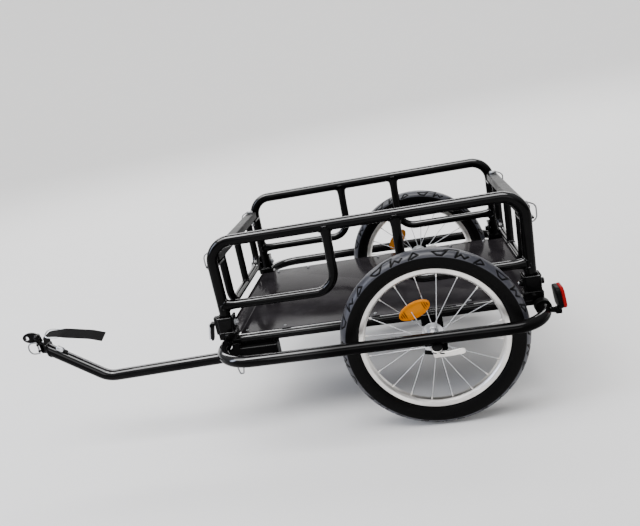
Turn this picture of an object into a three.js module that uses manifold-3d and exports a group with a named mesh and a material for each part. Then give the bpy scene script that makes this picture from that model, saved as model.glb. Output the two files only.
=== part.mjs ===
// Folding two-wheel cargo trailer for a bicycle, in millimetres.
// +X is the way the trailer travels, +Y its left side, +Z up.
// Every place below is counted from the middle of the wheel axle.
// The function add moves the whole part so that the origin is the middle of the deck's top.
import * as THREE from 'three';
import ManifoldModule from 'manifold-3d';

const wasm = await ManifoldModule();
wasm.setup();

// Clearances shared by all fits.
const WELD_GAP = 0.3;
const RUN_GAP = 0.06;
const SLIP_GAP = 0.4;
const OVERRUN = 1;
const ROUND = 24;
const SMALL_ROUND = 12;
const TUBE_ROUND = 12;
const WHEEL_ROUND = 48;
const WIRE_ROUND = 6;
const BEND_STEPS = 6;
const WIRE_BEND_STEPS = 3;

// Wheels: 16 inch tyre on an alloy rim.
const TYRE = { radius: 199, width: 47, tall: 40.2 };
// Half of the tyre's section: share of its height, share of its half width.
const TYRE_SHARES = [
  [0, 0.53], [0.16, 0.72], [0.36, 0.93], [0.56, 1],
  [0.76, 0.92], [0.89, 0.73], [0.97, 0.43],
];
const RIM = { fit: 0.3, deep: 13.5, width: 24, lip: 5, well: 6 };
const BEAD_RADIUS = TYRE.radius - TYRE.tall;
const RIM_OUTER = BEAD_RADIUS - RIM.fit;
const RIM_INNER = RIM_OUTER - RIM.deep;
const WHEEL_Y = 295.3;
const HUB = { flange: 23, flange_thick: 3, flange_y: 26, shell: 13, half: 49.3, lock_nut: 10, lock_len: 7 };
const SPOKE = { count: 20, radius: 1.1, root: 20, lean_share: 0.5, short: 1 };
const AMBER = { long: 70, tall: 34, thick: 7, in_rim: 64.5, round: 24, sunk: 0.53427 };
const AMBER_ANGLES = { left: 67, right: 44 };

// Axle, dropouts and the wheel's quick release.
const AXLE = { radius: 5, inner_end: 9, outer_end: 6 };
const DROPOUT = { width: 36, thick: 4, low: -20, slot: 10.8, off_wheel: 50 };
const WHEEL_NUT = { radius: 9 };
const WHEEL_LEVER = { cap_len: 14, arm: 58, thick: 5, height: 13, drop: 5, bow: 9 };

// Outer loop that runs round both wheels.
const LOOP = { tube: 12.7, y: 350.7, z: 24.8, front: 466, rear: -233, front_bend: 82, rear_bend: 80 };

// Deck frame and the sheet on it.
const RAIL = { tube: 10, y: 230.6, z: 27.4 };
const CROSS = { tube: 9, places: [330, 120, -90] };
const DECK = { half: 228, front: 470, rear: -238, bottom: 37.8, thick: 2, lip: 4, notch: 44, clear: 5 };

// Side panels: a hoop and two L tubes in each.
const POST_BEHIND_LOOP = 7.8;
const POST = {
  tube: 12.5, front: LOOP.front - POST_BEHIND_LOOP, rear: -220.2,
  y: 230.6, top: 263.3, bend: 50,
};
const ELL = { tube: 10.5, z: 114, reach: 264, bend: 46, flare_len: 16 };
const ELL_FLARE_SHARES = [1.5, 1.15];

// Corner brackets that hold the posts, and their skewers.
const BRACKET = {
  half_x: 18.5, wall: 4, floor: 52, top: 90,
  inner_y: 216, web_gap: 2.6, neck_x: 13,
};
const BRACKET_BOLT = { radius: 6, thick: 4, z: 44.5 };
const SKEWER = { radius: 3, z: 71, nut: 7, nut_len: 7, block: 8, block_len: 9 };
const PANEL_LEVER = { thick: 5, width: 13, arm: 42, cam: 8, bow: 9, gap: 0.5 };
const HEX = 6;
const SQUARE = 4;

// Gates at both ends, hung between the posts.
const GATE = {
  out: 3, bar_x: 26, bar_z: 20, z: 222, end: 204,
  side_y: 148, tube: 9.5, low: 88, bend: 38, mid: 9,
};
const LUG = { thick: 4, depth: 30, from: 176, gap: 0.5 };
const PIN = { radius: 4, y: 194, head: 7, head_len: 6, below: 10, gap: 0.4 };
const PIN_LOOP = { wire: 1.3, reach: 34, under: 2.2 };

// Tow bar, its receiver and the pull pin.
const TOW = {
  tube: 13.6, y: 235, rear: 352, rear_z: -6.7,
  elbow: 778, elbow_z: -21.6, tip: 917, tip_z: 73.7, bend: 60, cut: 904.7,
};
const RECEIVER = { rear: 350, front: 450, wall: 3, gap: 0.6, top: 13, saddle: 12, saddle_from: 12 };
const TOW_PIN = { x: 443, radius: 4, head: 8, head_len: 5, past: 8 };
const TOW_RING = { wire: 1.5, width: 22, drop: 40 };

// Hitch at the tow bar's tip, which is cut upright for its end plate.
const CLEVIS = { wall: 3, half: 14, low: 49, top: 84, lug_half: 6, lug_low: 66.4 };
const LATCH = { along: -38, long: 18, radius: 6.5, tail: 10, tail_radius: 3.5, lean: 20 };
const YAW_PIN = { x: 915.4, radius: 3.2, head: 5, head_len: 3 };
const COUPLER = { half: 7, flange: 4, past: 7, ear: 5, ear_x: 926, web: 4 };
const EYE_PLATE = { x: 929, z: 103, long: 44, tall: 27, thick: 4, ahead: 15, hole: 5.2, hole_ahead: 25 };
const RIVET = { radius: 3, past: 2 };
const HITCH_RING = { wire: 1.4, height: 28, reach: 28, z: 78, eye: 3, eye_thick: 4, eye_off: 9 };
const STRAP = { x: 906.5, z: 108, width: 25, thick: 2, fold: 9, bend: 60, reach: 145, sag: 27, turn: 38 };
// Where the strap lies behind its fold: share of its reach back, of its sag and of its turn.
const STRAP_SHARES = [[0.3, 0.12, 0], [0.46, 0.28, 1], [0.8, 0.63, 1], [1, 1, 0.9]];
const STRAP_RING = { wire: 1.6, width: 30, length: 38, bend: 12, behind: 4 };

// Rear reflector on its clamp, rear left corner only.
const CLAMP = { y: 261, wall: 4, width: 20 };
const ARM = { radius: 4.5, width: 12, reach: 31, drop: 14.5 };
const REAR_LENS = { tall: 50, wide: 50, thick: 5, case_thick: 11, round: 10, z: 42 };

const MATERIALS = {
  black_paint: { color: 0x121214, metalness: 0.35, roughness: 0.35 },
  deck_paint: { color: 0x4a484c, metalness: 0.6, roughness: 0.3 },
  steel: { color: 0xb9bcc0, metalness: 0.95, roughness: 0.32 },
  alloy: { color: 0xc4beb6, metalness: 0.9, roughness: 0.34 },
  tyre_rubber: { color: 0x1b1b1d, metalness: 0, roughness: 0.8 },
  amber: { color: 0xe08a12, metalness: 0, roughness: 0.25 },
  red_lens: { color: 0xb01a1c, metalness: 0, roughness: 0.2 },
  black_plastic: { color: 0x18181a, metalness: 0, roughness: 0.5 },
  webbing: { color: 0x17161a, metalness: 0, roughness: 0.9 },
};

const group = new THREE.Group();
group.name = 'cargo_trailer';
const { Manifold, Mesh } = wasm;
const v3 = (x, y, z) => new THREE.Vector3(x, y, z);
const X = v3(1, 0, 0);
const Y = v3(0, 1, 0);
const Z = v3(0, 0, 1);
const half = (value) => value / 2;

// Turn any closed three.js geometry into a solid for the booleans.
function solid(geometry) {
  const place = geometry.attributes.position;
  const order = geometry.index ? Array.from(geometry.index.array) : [...Array(place.count).keys()];
  const seen = new Map();
  const points = [];
  const remap = new Array(place.count);
  for (let i = 0; i < place.count; i += 1) {
    const key = [place.getX(i), place.getY(i), place.getZ(i)].map((c) => Math.round(c * 1e4)).join();
    if (!seen.has(key)) {
      seen.set(key, points.length / 3);
      points.push(place.getX(i), place.getY(i), place.getZ(i));
    }
    remap[i] = seen.get(key);
  }
  const faces = [];
  for (let i = 0; i < order.length; i += 3) {
    const [a, b, c] = [remap[order[i]], remap[order[i + 1]], remap[order[i + 2]]];
    if (a !== b && b !== c && a !== c) faces.push(a, b, c);
  }
  const mesh = new Mesh({
    numProp: 3,
    vertProperties: new Float32Array(points),
    triVerts: new Uint32Array(faces),
  });
  mesh.merge();
  return new Manifold(mesh);
}

const join = (...parts) => Manifold.union(parts.flat());
const cut = (body, ...tools) => Manifold.difference([body, ...tools.flat()]);

function box(x0, x1, y0, y1, z0, z1) {
  const shape = new THREE.BoxGeometry(x1 - x0, y1 - y0, z1 - z0);
  shape.translate(half(x0 + x1), half(y0 + y1), half(z0 + z1));
  return solid(shape);
}

// A round bar between two points. Equal radii unless a second one is given.
function bar(from, to, radius, sides = SMALL_ROUND, end_radius = radius) {
  const shape = new THREE.CylinderGeometry(end_radius, radius, from.distanceTo(to), sides);
  const turn = new THREE.Quaternion().setFromUnitVectors(Y, to.clone().sub(from).normalize());
  shape.applyQuaternion(turn);
  const middle = from.clone().lerp(to, 0.5);
  shape.translate(middle.x, middle.y, middle.z);
  return solid(shape);
}

// Points along straight runs whose corners are rounded to the given radii.
function rounded(corners, radii, closed = false, steps = BEND_STEPS) {
  const path = [];
  const count = corners.length;
  corners.forEach((corner, i) => {
    const inner = closed || (i > 0 && i < count - 1);
    const radius = Array.isArray(radii) ? radii[i] : radii;
    if (!inner || !radius) {
      path.push(corner.clone());
      return;
    }
    const before = corners[(i + count - 1) % count].clone().sub(corner).normalize();
    const after = corners[(i + 1) % count].clone().sub(corner).normalize();
    const opening = before.angleTo(after);
    const run = radius / Math.tan(half(opening));
    const centre_dir = before.clone().add(after).normalize();
    const centre = corner.clone().addScaledVector(centre_dir, radius / Math.sin(half(opening)));
    const start = corner.clone().addScaledVector(before, run).sub(centre);
    const axis = before.clone().cross(after).normalize().negate();
    const sweep_angle = Math.PI - opening;
    for (let k = 0; k <= steps; k += 1) {
      path.push(start.clone().applyAxisAngle(axis, sweep_angle * k / steps).add(centre));
    }
  });
  return path;
}

// Carry an outline along a flat path. Normal is the path plane's own direction.
// Stretch gives the outline's two scales at each path point, and turn its angle about the path.
function sweep(path, outline, normal, closed = false, stretch = () => [1, 1], turn = () => 0) {
  const rings = path.length;
  const sides = outline.length;
  const places = [];
  const faces = [];
  path.forEach((point, i) => {
    const before = path[closed ? (i + rings - 1) % rings : Math.max(i - 1, 0)];
    const after = path[closed ? (i + 1) % rings : Math.min(i + 1, rings - 1)];
    const back = point.clone().sub(before).normalize();
    const ahead = after.clone().sub(point).normalize();
    const along = back.add(ahead).normalize();
    const side = normal.clone().cross(along).normalize();
    const [wide, tall] = stretch(i);
    const [c, s] = [Math.cos(turn(point)), Math.sin(turn(point))];
    outline.forEach(([u, w]) => {
      const at = point.clone()
        .addScaledVector(side, (u * c - w * s) * wide)
        .addScaledVector(normal, (w * c + u * s) * tall);
      places.push(at.x, at.y, at.z);
    });
  });
  const spans = closed ? rings : rings - 1;
  for (let i = 0; i < spans; i += 1) {
    const next = (i + 1) % rings;
    for (let k = 0; k < sides; k += 1) {
      const beside = (k + 1) % sides;
      const [a, b] = [i * sides + k, i * sides + beside];
      const [c, d] = [next * sides + k, next * sides + beside];
      faces.push(a, b, d, a, d, c);
    }
  }
  if (!closed) {
    for (let k = 1; k < sides - 1; k += 1) {
      const last = (rings - 1) * sides;
      faces.push(0, k + 1, k);
      faces.push(last, last + k, last + k + 1);
    }
  }
  const shape = new THREE.BufferGeometry();
  shape.setAttribute('position', new THREE.Float32BufferAttribute(places, 3));
  shape.setIndex(faces);
  const body = solid(shape);
  if (body.volume() > 0) return body;
  const flipped = [];
  for (let i = 0; i < faces.length; i += 3) flipped.push(faces[i], faces[i + 2], faces[i + 1]);
  shape.setIndex(flipped);
  return solid(shape);
}

// Outline of a circle, a rectangle or a stadium for sweep.
function circle(radius, sides = TUBE_ROUND) {
  return [...Array(sides).keys()].map((k) => {
    const angle = 2 * Math.PI * (k + 0.5) / sides;
    return [radius * Math.cos(angle), radius * Math.sin(angle)];
  });
}
const rectangle = (u, w) => [[-1, -1], [1, -1], [1, 1], [-1, 1]].map(([a, b]) => [a * half(u), b * half(w)]);
const tube = (path, radius, normal, closed = false) => sweep(path, circle(radius), normal, closed);
const wire = (path, radius, normal, closed) => sweep(path, circle(radius, WIRE_ROUND), normal, closed);

// A profile of [radius, y] points turned about the Y axis at the given y.
function turned(profile, y, segments) {
  const shape = new THREE.LatheGeometry(profile.map(([r, h]) => new THREE.Vector2(r, h)), segments);
  shape.translate(0, y, 0);
  return solid(shape);
}

// A flat plate with the outline of a rounded shape, thick along one direction.
function plate(points, thick, right, up, centre) {
  const shape = new THREE.ExtrudeGeometry(new THREE.Shape(points), { depth: thick, bevelEnabled: false });
  shape.translate(0, 0, -half(thick));
  const basis = new THREE.Matrix4().makeBasis(right, up, right.clone().cross(up));
  shape.applyMatrix4(basis);
  shape.translate(centre.x, centre.y, centre.z);
  return solid(shape);
}

function oval(long, tall, sides) {
  return [...Array(sides).keys()].map((k) => {
    const angle = 2 * Math.PI * k / sides;
    return new THREE.Vector2(half(long) * Math.cos(angle), half(tall) * Math.sin(angle));
  });
}

// Put a finished solid into the group, moved so that the deck's middle is the origin.
function add(name, body, material) {
  const lifted = body.translate([-half(DECK.front + DECK.rear), 0, -(DECK.bottom + DECK.thick)]);
  const data = lifted.getMesh();
  const shape = new THREE.BufferGeometry();
  const stride = data.numProp;
  const places = new Float32Array(data.vertProperties.length / stride * 3);
  for (let i = 0; i < places.length / 3; i += 1) {
    for (let k = 0; k < 3; k += 1) places[i * 3 + k] = data.vertProperties[i * stride + k];
  }
  shape.setAttribute('position', new THREE.BufferAttribute(places, 3));
  shape.setIndex([...data.triVerts]);
  shape.computeVertexNormals();
  const look = new THREE.MeshStandardMaterial({ name: material, ...MATERIALS[material] });
  const item = new THREE.Mesh(shape, look);
  item.name = name;
  group.add(item);
}

const SIDES = [['left', 1], ['right', -1]];
const ENDS = [['front', 1, POST.front], ['rear', -1, POST.rear]];

// The loop is one closed ring of tube.
function loop_path() {
  const corners = [
    v3(LOOP.front, LOOP.y, LOOP.z),
    v3(LOOP.rear, LOOP.y, LOOP.z),
    v3(LOOP.rear, -LOOP.y, LOOP.z),
    v3(LOOP.front, -LOOP.y, LOOP.z),
  ];
  const radii = [LOOP.front_bend, LOOP.rear_bend, LOOP.rear_bend, LOOP.front_bend];
  return rounded(corners, radii, true);
}
const loop_tube = tube(loop_path(), LOOP.tube, Z, true);
const loop_keepout = tube(loop_path(), LOOP.tube + WELD_GAP, Z, true);
const rail_keepout = (side) => bar(
  v3(LOOP.rear, side * RAIL.y, RAIL.z),
  v3(LOOP.front, side * RAIL.y, RAIL.z),
  RAIL.tube + WELD_GAP,
  TUBE_ROUND,
);
add('outer_loop', loop_tube, 'black_paint');

// Two long rails and the cross tubes are one welding, coped against the loop.
function deck_frame() {
  const long_rails = SIDES.map(([, side]) => bar(
    v3(LOOP.rear, side * RAIL.y, RAIL.z),
    v3(LOOP.front, side * RAIL.y, RAIL.z),
    RAIL.tube,
    TUBE_ROUND,
  ));
  const cross_tubes = CROSS.places.map((x) => bar(
    v3(x, -RAIL.y, RAIL.z),
    v3(x, RAIL.y, RAIL.z),
    CROSS.tube,
    TUBE_ROUND,
  ));
  return cut(join(long_rails, cross_tubes), loop_keepout);
}
add('deck_frame', deck_frame(), 'black_paint');

// Deck sheet with turned-up lips at both ends and notches for the brackets.
function deck_panel() {
  const top = DECK.bottom + DECK.thick;
  const sheet = box(DECK.rear, DECK.front, -DECK.half, DECK.half, DECK.bottom, top);
  const lip = (from) => box(from, from + DECK.thick, -DECK.half, DECK.half, DECK.bottom, top + DECK.lip);
  const notches = ENDS.flatMap(([, , x]) => SIDES.map(([, side]) => {
    const inner = side * (BRACKET.inner_y - OVERRUN);
    const outer = side * (DECK.half + DECK.notch);
    const reach = BRACKET.half_x + DECK.clear;
    const low = x === POST.front ? x - reach : x - DECK.notch;
    const high = x === POST.front ? x + DECK.notch : x + reach;
    const above = top + DECK.lip + OVERRUN;
    return box(low, high, Math.min(inner, outer), Math.max(inner, outer), DECK.bottom - OVERRUN, above);
  }));
  return cut(join(sheet, lip(DECK.front - DECK.thick), lip(DECK.rear)), notches);
}
add('deck_panel', deck_panel(), 'deck_paint');

// Hoop with two L tubes, the lugs for the gates, and the holes for the skewers.
function side_panel(side) {
  const y = side * POST.y;
  const low = BRACKET.floor + BRACKET.wall + WELD_GAP;
  const hoop = tube(rounded([
    v3(POST.front, y, low),
    v3(POST.front, y, POST.top),
    v3(POST.rear, y, POST.top),
    v3(POST.rear, y, low),
  ], POST.bend), POST.tube, Y);
  const ells = ENDS.map(([, way, post_x]) => {
    const path = rounded([
      v3(post_x - way * ELL.flare_len, y, ELL.z),
      v3(post_x - way * ELL.reach, y, ELL.z),
      v3(post_x - way * ELL.reach, y, POST.top - ELL.flare_len),
    ], ELL.bend);
    path.unshift(v3(post_x, y, ELL.z));
    path.splice(2, 0, v3(post_x - way * 2 * ELL.flare_len, y, ELL.z));
    path.splice(path.length - 1, 0, v3(post_x - way * ELL.reach, y, POST.top - 2 * ELL.flare_len));
    path.push(v3(post_x - way * ELL.reach, y, POST.top));
    const from_end = (i) => Math.min(i, path.length - 1 - i);
    const widen = (i) => [ELL_FLARE_SHARES[from_end(i)] ?? 1, 1];
    return sweep(path, circle(ELL.tube), Y, false, widen);
  });
  const lugs = ENDS.map(([, way, post_x]) => {
    const x = post_x + way * GATE.out;
    const top = GATE.z - half(GATE.bar_z) - LUG.gap;
    const near = side * LUG.from;
    const far = side * POST.y;
    const slab = box(
      x - half(LUG.depth), x + half(LUG.depth),
      Math.min(near, far), Math.max(near, far),
      top - LUG.thick, top,
    );
    const pin_y = side * PIN.y;
    const hole = bar(v3(x, pin_y, top - 2 * LUG.thick), v3(x, pin_y, top + LUG.thick), PIN.radius + SLIP_GAP);
    return cut(slab, hole);
  });
  const holes = ENDS.map(([, , post_x]) => bar(
    v3(post_x - 2 * POST.tube, y, SKEWER.z),
    v3(post_x + 2 * POST.tube, y, SKEWER.z),
    SKEWER.radius + SLIP_GAP,
  ));
  return cut(join(hoop, ells, lugs), holes);
}

// Folded channel on the frame corner: two walls, an outer web and a floor, on a neck block.
function corner_bracket(side, post_x) {
  const web_in = POST.y + POST.tube + BRACKET.web_gap;
  const web_out = web_in + BRACKET.wall;
  const span = (inner, outer) => [Math.min(side * inner, side * outer), Math.max(side * inner, side * outer)];
  const whole = span(BRACKET.inner_y, web_out);
  const left = post_x - BRACKET.half_x;
  const right = post_x + BRACKET.half_x;
  const walls = [
    box(left, left + BRACKET.wall, ...whole, BRACKET.floor, BRACKET.top),
    box(right - BRACKET.wall, right, ...whole, BRACKET.floor, BRACKET.top),
    box(left, right, ...span(web_in, web_out), BRACKET.floor, BRACKET.top),
    box(left, right, ...whole, BRACKET.floor, BRACKET.floor + BRACKET.wall),
    box(
      post_x - BRACKET.neck_x, post_x + BRACKET.neck_x,
      ...whole,
      RAIL.z + RAIL.tube + SLIP_GAP, BRACKET.floor + BRACKET.wall,
    ),
  ];
  const y = side * POST.y;
  const bolt_y = side * (web_out + BRACKET_BOLT.thick);
  const bolt = bar(
    v3(post_x, side * (web_out - half(BRACKET.wall)), BRACKET_BOLT.z),
    v3(post_x, bolt_y, BRACKET_BOLT.z),
    BRACKET_BOLT.radius,
    HEX,
  );
  const hole = bar(
    v3(left - BRACKET.wall, y, SKEWER.z),
    v3(right + BRACKET.wall, y, SKEWER.z),
    SKEWER.radius + SLIP_GAP,
  );
  return cut(join(walls, bolt), hole, loop_keepout);
}

// Rod with its nut, and either a cam block in front or a plain head behind.
function panel_skewer(side, way, post_x, with_block) {
  const y = side * POST.y;
  const nut_face = post_x - way * (BRACKET.half_x + WELD_GAP);
  const far_face = post_x + way * (BRACKET.half_x + WELD_GAP);
  const nut_end = nut_face - way * SKEWER.nut_len;
  const block_end = far_face + way * (with_block ? SKEWER.block_len : SKEWER.nut_len);
  const rod = bar(v3(nut_end, y, SKEWER.z), v3(block_end, y, SKEWER.z), SKEWER.radius);
  const nut = bar(v3(nut_face, y, SKEWER.z), v3(nut_end, y, SKEWER.z), SKEWER.nut, HEX);
  const [head_radius, sides] = with_block ? [SKEWER.block, ROUND] : [SKEWER.nut, HEX];
  const head = bar(v3(far_face, y, SKEWER.z), v3(block_end, y, SKEWER.z), head_radius, sides);
  return join(rod, nut, head);
}

// Curved lever of the front skewers, closed flat along the bracket.
function panel_lever(side) {
  const y = side * POST.y;
  const face = POST.front + BRACKET.half_x + WELD_GAP + SKEWER.block_len + PANEL_LEVER.gap;
  const centre = face + PANEL_LEVER.cam;
  const wide = half(PANEL_LEVER.width);
  const cam = bar(v3(centre, y - wide, SKEWER.z), v3(centre, y + wide, SKEWER.z), PANEL_LEVER.cam, ROUND);
  const blade = sweep(rounded([
    v3(centre, y, SKEWER.z),
    v3(centre + PANEL_LEVER.bow, y, SKEWER.z - half(PANEL_LEVER.arm)),
    v3(centre, y, SKEWER.z - PANEL_LEVER.arm),
  ], PANEL_LEVER.arm / 2), rectangle(PANEL_LEVER.thick, PANEL_LEVER.width), Y);
  return join(cam, blade);
}

for (const [name, side] of SIDES) {
  add(`side_panel_${name}`, side_panel(side), 'black_paint');
  for (const [end, way, post_x] of ENDS) {
    const with_block = way > 0;
    add(`bracket_${end}_${name}`, corner_bracket(side, post_x), 'black_paint');
    const look = with_block ? 'steel' : 'black_paint';
    add(`skewer_${end}_${name}`, panel_skewer(side, way, post_x, with_block), look);
  }
  add(`panel_lever_${name}`, panel_lever(side), 'steel');
}

// Gate: a rectangular top bar, a U of round tube under it and a middle upright.
function gate(x) {
  const top = GATE.z + half(GATE.bar_z);
  const bottom = GATE.z - half(GATE.bar_z);
  const beam = box(x - half(GATE.bar_x), x + half(GATE.bar_x), -GATE.end, GATE.end, bottom, top);
  const hoop = tube(rounded([
    v3(x, GATE.side_y, GATE.z),
    v3(x, GATE.side_y, GATE.low),
    v3(x, -GATE.side_y, GATE.low),
    v3(x, -GATE.side_y, GATE.z),
  ], GATE.bend), GATE.tube, X);
  const upright = bar(v3(x, 0, GATE.low), v3(x, 0, GATE.z), GATE.mid, TUBE_ROUND);
  const holes = SIDES.map(([, side]) => bar(
    v3(x, side * PIN.y, bottom - GATE.bar_z),
    v3(x, side * PIN.y, top + GATE.bar_z),
    PIN.radius + SLIP_GAP,
  ));
  return cut(join(beam, hoop, upright), holes);
}

// Vertical lock pin through the gate's bar and the panel's lug.
function lock_pin(x, y) {
  const top = GATE.z + half(GATE.bar_z) + PIN.gap;
  const tip = GATE.z - half(GATE.bar_z) - LUG.gap - LUG.thick - PIN.below;
  const shaft = bar(v3(x, y, tip), v3(x, y, top + PIN.head_len), PIN.radius);
  const head = bar(v3(x, y, top), v3(x, y, top + PIN.head_len), PIN.head);
  const eye_z = top + half(PIN.head_len);
  const eye = bar(
    v3(x, y - PIN.head, eye_z),
    v3(x, y + PIN.head, eye_z),
    PIN_LOOP.wire + SLIP_GAP,
    WIRE_ROUND,
  );
  return cut(join(shaft, head), eye);
}

// Wire loop that snaps from the pin's head round the bar to the pin's tip.
function pin_loop(x, y, way) {
  const hinge_z = GATE.z + half(GATE.bar_z) + PIN.gap + half(PIN.head_len);
  const tip = GATE.z - half(GATE.bar_z) - LUG.gap - LUG.thick - PIN.below;
  const low = tip - PIN_LOOP.under;
  const out = x + way * PIN_LOOP.reach;
  const near = x + way * (PIN.head + 2 * PIN_LOOP.wire);
  const arc = rounded([
    v3(near, y, hinge_z),
    v3(out, y, hinge_z),
    v3(out, y, low),
    v3(x - way * PIN.radius, y, low),
  ], [0, PIN_LOOP.reach / 2, PIN_LOOP.reach / 2, 0], false, WIRE_BEND_STEPS);
  const bow = wire(arc, PIN_LOOP.wire, Y);
  const cheek = PIN.head + PIN_LOOP.wire + SLIP_GAP;
  const frame = rounded([
    v3(near, y - cheek, hinge_z),
    v3(near, y + cheek, hinge_z),
    v3(x, y + cheek, hinge_z),
    v3(x, y - cheek, hinge_z),
  ], PIN_LOOP.wire, true, 1);
  return join(bow, wire(frame, PIN_LOOP.wire, Z, true));
}

for (const [end, way, post_x] of ENDS) {
  const x = post_x + way * GATE.out;
  add(`gate_${end}`, gate(x), 'black_paint');
  for (const [name, side] of SIDES) {
    add(`lock_pin_${end}_${name}`, lock_pin(x, side * PIN.y), 'steel');
    add(`pin_loop_${end}_${name}`, pin_loop(x, side * PIN.y, way), 'steel');
  }
}

// Wheels: tyre, rim, laced hub and one spoke reflector each.
function tyre(y) {
  const side = TYRE_SHARES.map(([height, width]) => [
    BEAD_RADIUS + height * TYRE.tall,
    width * half(TYRE.width),
  ]);
  const mirrored = side.slice().reverse().map(([r, h]) => [r, -h]);
  const profile = [...side, [TYRE.radius, 0], ...mirrored, side[0]];
  return turned(profile.reverse(), y, WHEEL_ROUND);
}

function rim(y) {
  const wide = half(RIM.width);
  const well = wide - RIM.lip;
  const profile = [
    [RIM_OUTER, wide],
    [RIM_OUTER - RIM.lip, wide],
    [RIM_INNER, well],
    [RIM_INNER, -well],
    [RIM_OUTER - RIM.lip, -wide],
    [RIM_OUTER, -wide],
    [RIM_OUTER - RIM.well, -well],
    [RIM_OUTER - RIM.well, well],
    [RIM_OUTER, wide],
  ];
  return turned(profile, y, WHEEL_ROUND);
}

// Distance of a spoke from the wheel's middle plane, at a radius.
const spoke_off = (radius) => THREE.MathUtils.mapLinear(
  radius, SPOKE.root, RIM_INNER - SPOKE.short, HUB.flange_y, half(RIM.lip),
);

// Spokes run from alternate flanges, each leaning a little to one side.
function spokes(y, radius) {
  const step = 2 * Math.PI / SPOKE.count;
  const at = (angle, out, off) => v3(out * Math.cos(angle), y + off, out * Math.sin(angle));
  return [...Array(SPOKE.count).keys()].map((k) => {
    const flange = k % 2 ? 1 : -1;
    const lean = (Math.floor(k / 2) % 2 ? 1 : -1) * SPOKE.lean_share * step;
    const root = at(k * step + lean, SPOKE.root, flange * HUB.flange_y);
    const head = at(k * step, RIM_INNER - SPOKE.short, flange * half(RIM.lip));
    return bar(root, head, radius, SQUARE);
  });
}

function laced_hub(y) {
  const profile = [
    [0, HUB.half],
    [HUB.lock_nut, HUB.half],
    [HUB.lock_nut, HUB.half - HUB.lock_len],
    [HUB.shell, HUB.flange_y + half(HUB.flange_thick)],
    [HUB.flange, HUB.flange_y + half(HUB.flange_thick)],
    [HUB.flange, HUB.flange_y - half(HUB.flange_thick)],
    [HUB.shell, HUB.flange_y - half(HUB.flange_thick)],
  ];
  const whole = [...profile, ...profile.slice().reverse().map(([r, h]) => [r, -h])];
  const shell = turned(whole.reverse(), y, ROUND);
  const bore = bar(v3(0, y - 2 * HUB.half, 0), v3(0, y + 2 * HUB.half, 0), AXLE.radius + RUN_GAP, ROUND);
  return cut(join(shell, spokes(y, SPOKE.radius)), bore);
}

// Oval reflector clipped on the outer spokes, with a groove for each of them.
function spoke_reflector(y, side, degrees) {
  const angle = THREE.MathUtils.degToRad(degrees);
  const radial = v3(Math.cos(angle), 0, Math.sin(angle));
  const along = v3(-Math.sin(angle), 0, Math.cos(angle));
  const radius = RIM_INNER - AMBER.in_rim;
  const off = side * (spoke_off(radius) - AMBER.sunk);
  const centre = radial.clone().multiplyScalar(radius).add(v3(0, y + off, 0));
  const slab = plate(oval(AMBER.long, AMBER.tall, AMBER.round), AMBER.thick, along, radial, centre);
  return cut(slab, spokes(y, SPOKE.radius + WELD_GAP));
}

// Plate with an open slot that the axle drops into.
function dropout(y_low, y_high, top) {
  const wide = half(DROPOUT.width);
  const slab = box(-wide, wide, y_low, y_high, DROPOUT.low, top);
  const slot = half(DROPOUT.slot);
  const open = box(-slot, slot, y_low - OVERRUN, y_high + OVERRUN, DROPOUT.low - OVERRUN, 0);
  const seat = bar(v3(0, y_low - OVERRUN, 0), v3(0, y_high + OVERRUN, 0), slot);
  return cut(slab, open, seat);
}

function axle(side) {
  const at = (off) => v3(0, side * (WHEEL_Y + off), 0);
  const inner_face = -DROPOUT.off_wheel - DROPOUT.thick - WELD_GAP * 2;
  const outer_face = DROPOUT.off_wheel + DROPOUT.thick + WELD_GAP * 2;
  const rod = bar(at(inner_face - AXLE.inner_end), at(outer_face + AXLE.outer_end), AXLE.radius, ROUND);
  const nut = bar(at(inner_face - AXLE.inner_end), at(inner_face), WHEEL_NUT.radius);
  const cam = bar(at(outer_face), at(outer_face + AXLE.outer_end), WHEEL_NUT.radius);
  return join(rod, nut, cam);
}

function wheel_lever(side) {
  const outer_face = DROPOUT.off_wheel + DROPOUT.thick + WELD_GAP * 2;
  const face = WHEEL_Y + outer_face + AXLE.outer_end + SLIP_GAP;
  const mid = face + half(WHEEL_LEVER.cap_len);
  const y = (value) => side * value;
  const cap = bar(v3(0, y(mid), -WHEEL_LEVER.drop - half(WHEEL_LEVER.height)),
    v3(0, y(mid), -WHEEL_LEVER.drop + half(WHEEL_LEVER.height)), half(WHEEL_LEVER.cap_len));
  const path = rounded([
    v3(0, y(mid), -WHEEL_LEVER.drop),
    v3(-half(WHEEL_LEVER.arm), y(mid + WHEEL_LEVER.bow), -WHEEL_LEVER.drop),
    v3(-WHEEL_LEVER.arm, y(mid), -WHEEL_LEVER.drop),
  ], WHEEL_LEVER.arm);
  return join(cap, sweep(path, rectangle(WHEEL_LEVER.thick, WHEEL_LEVER.height), Z));
}

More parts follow.
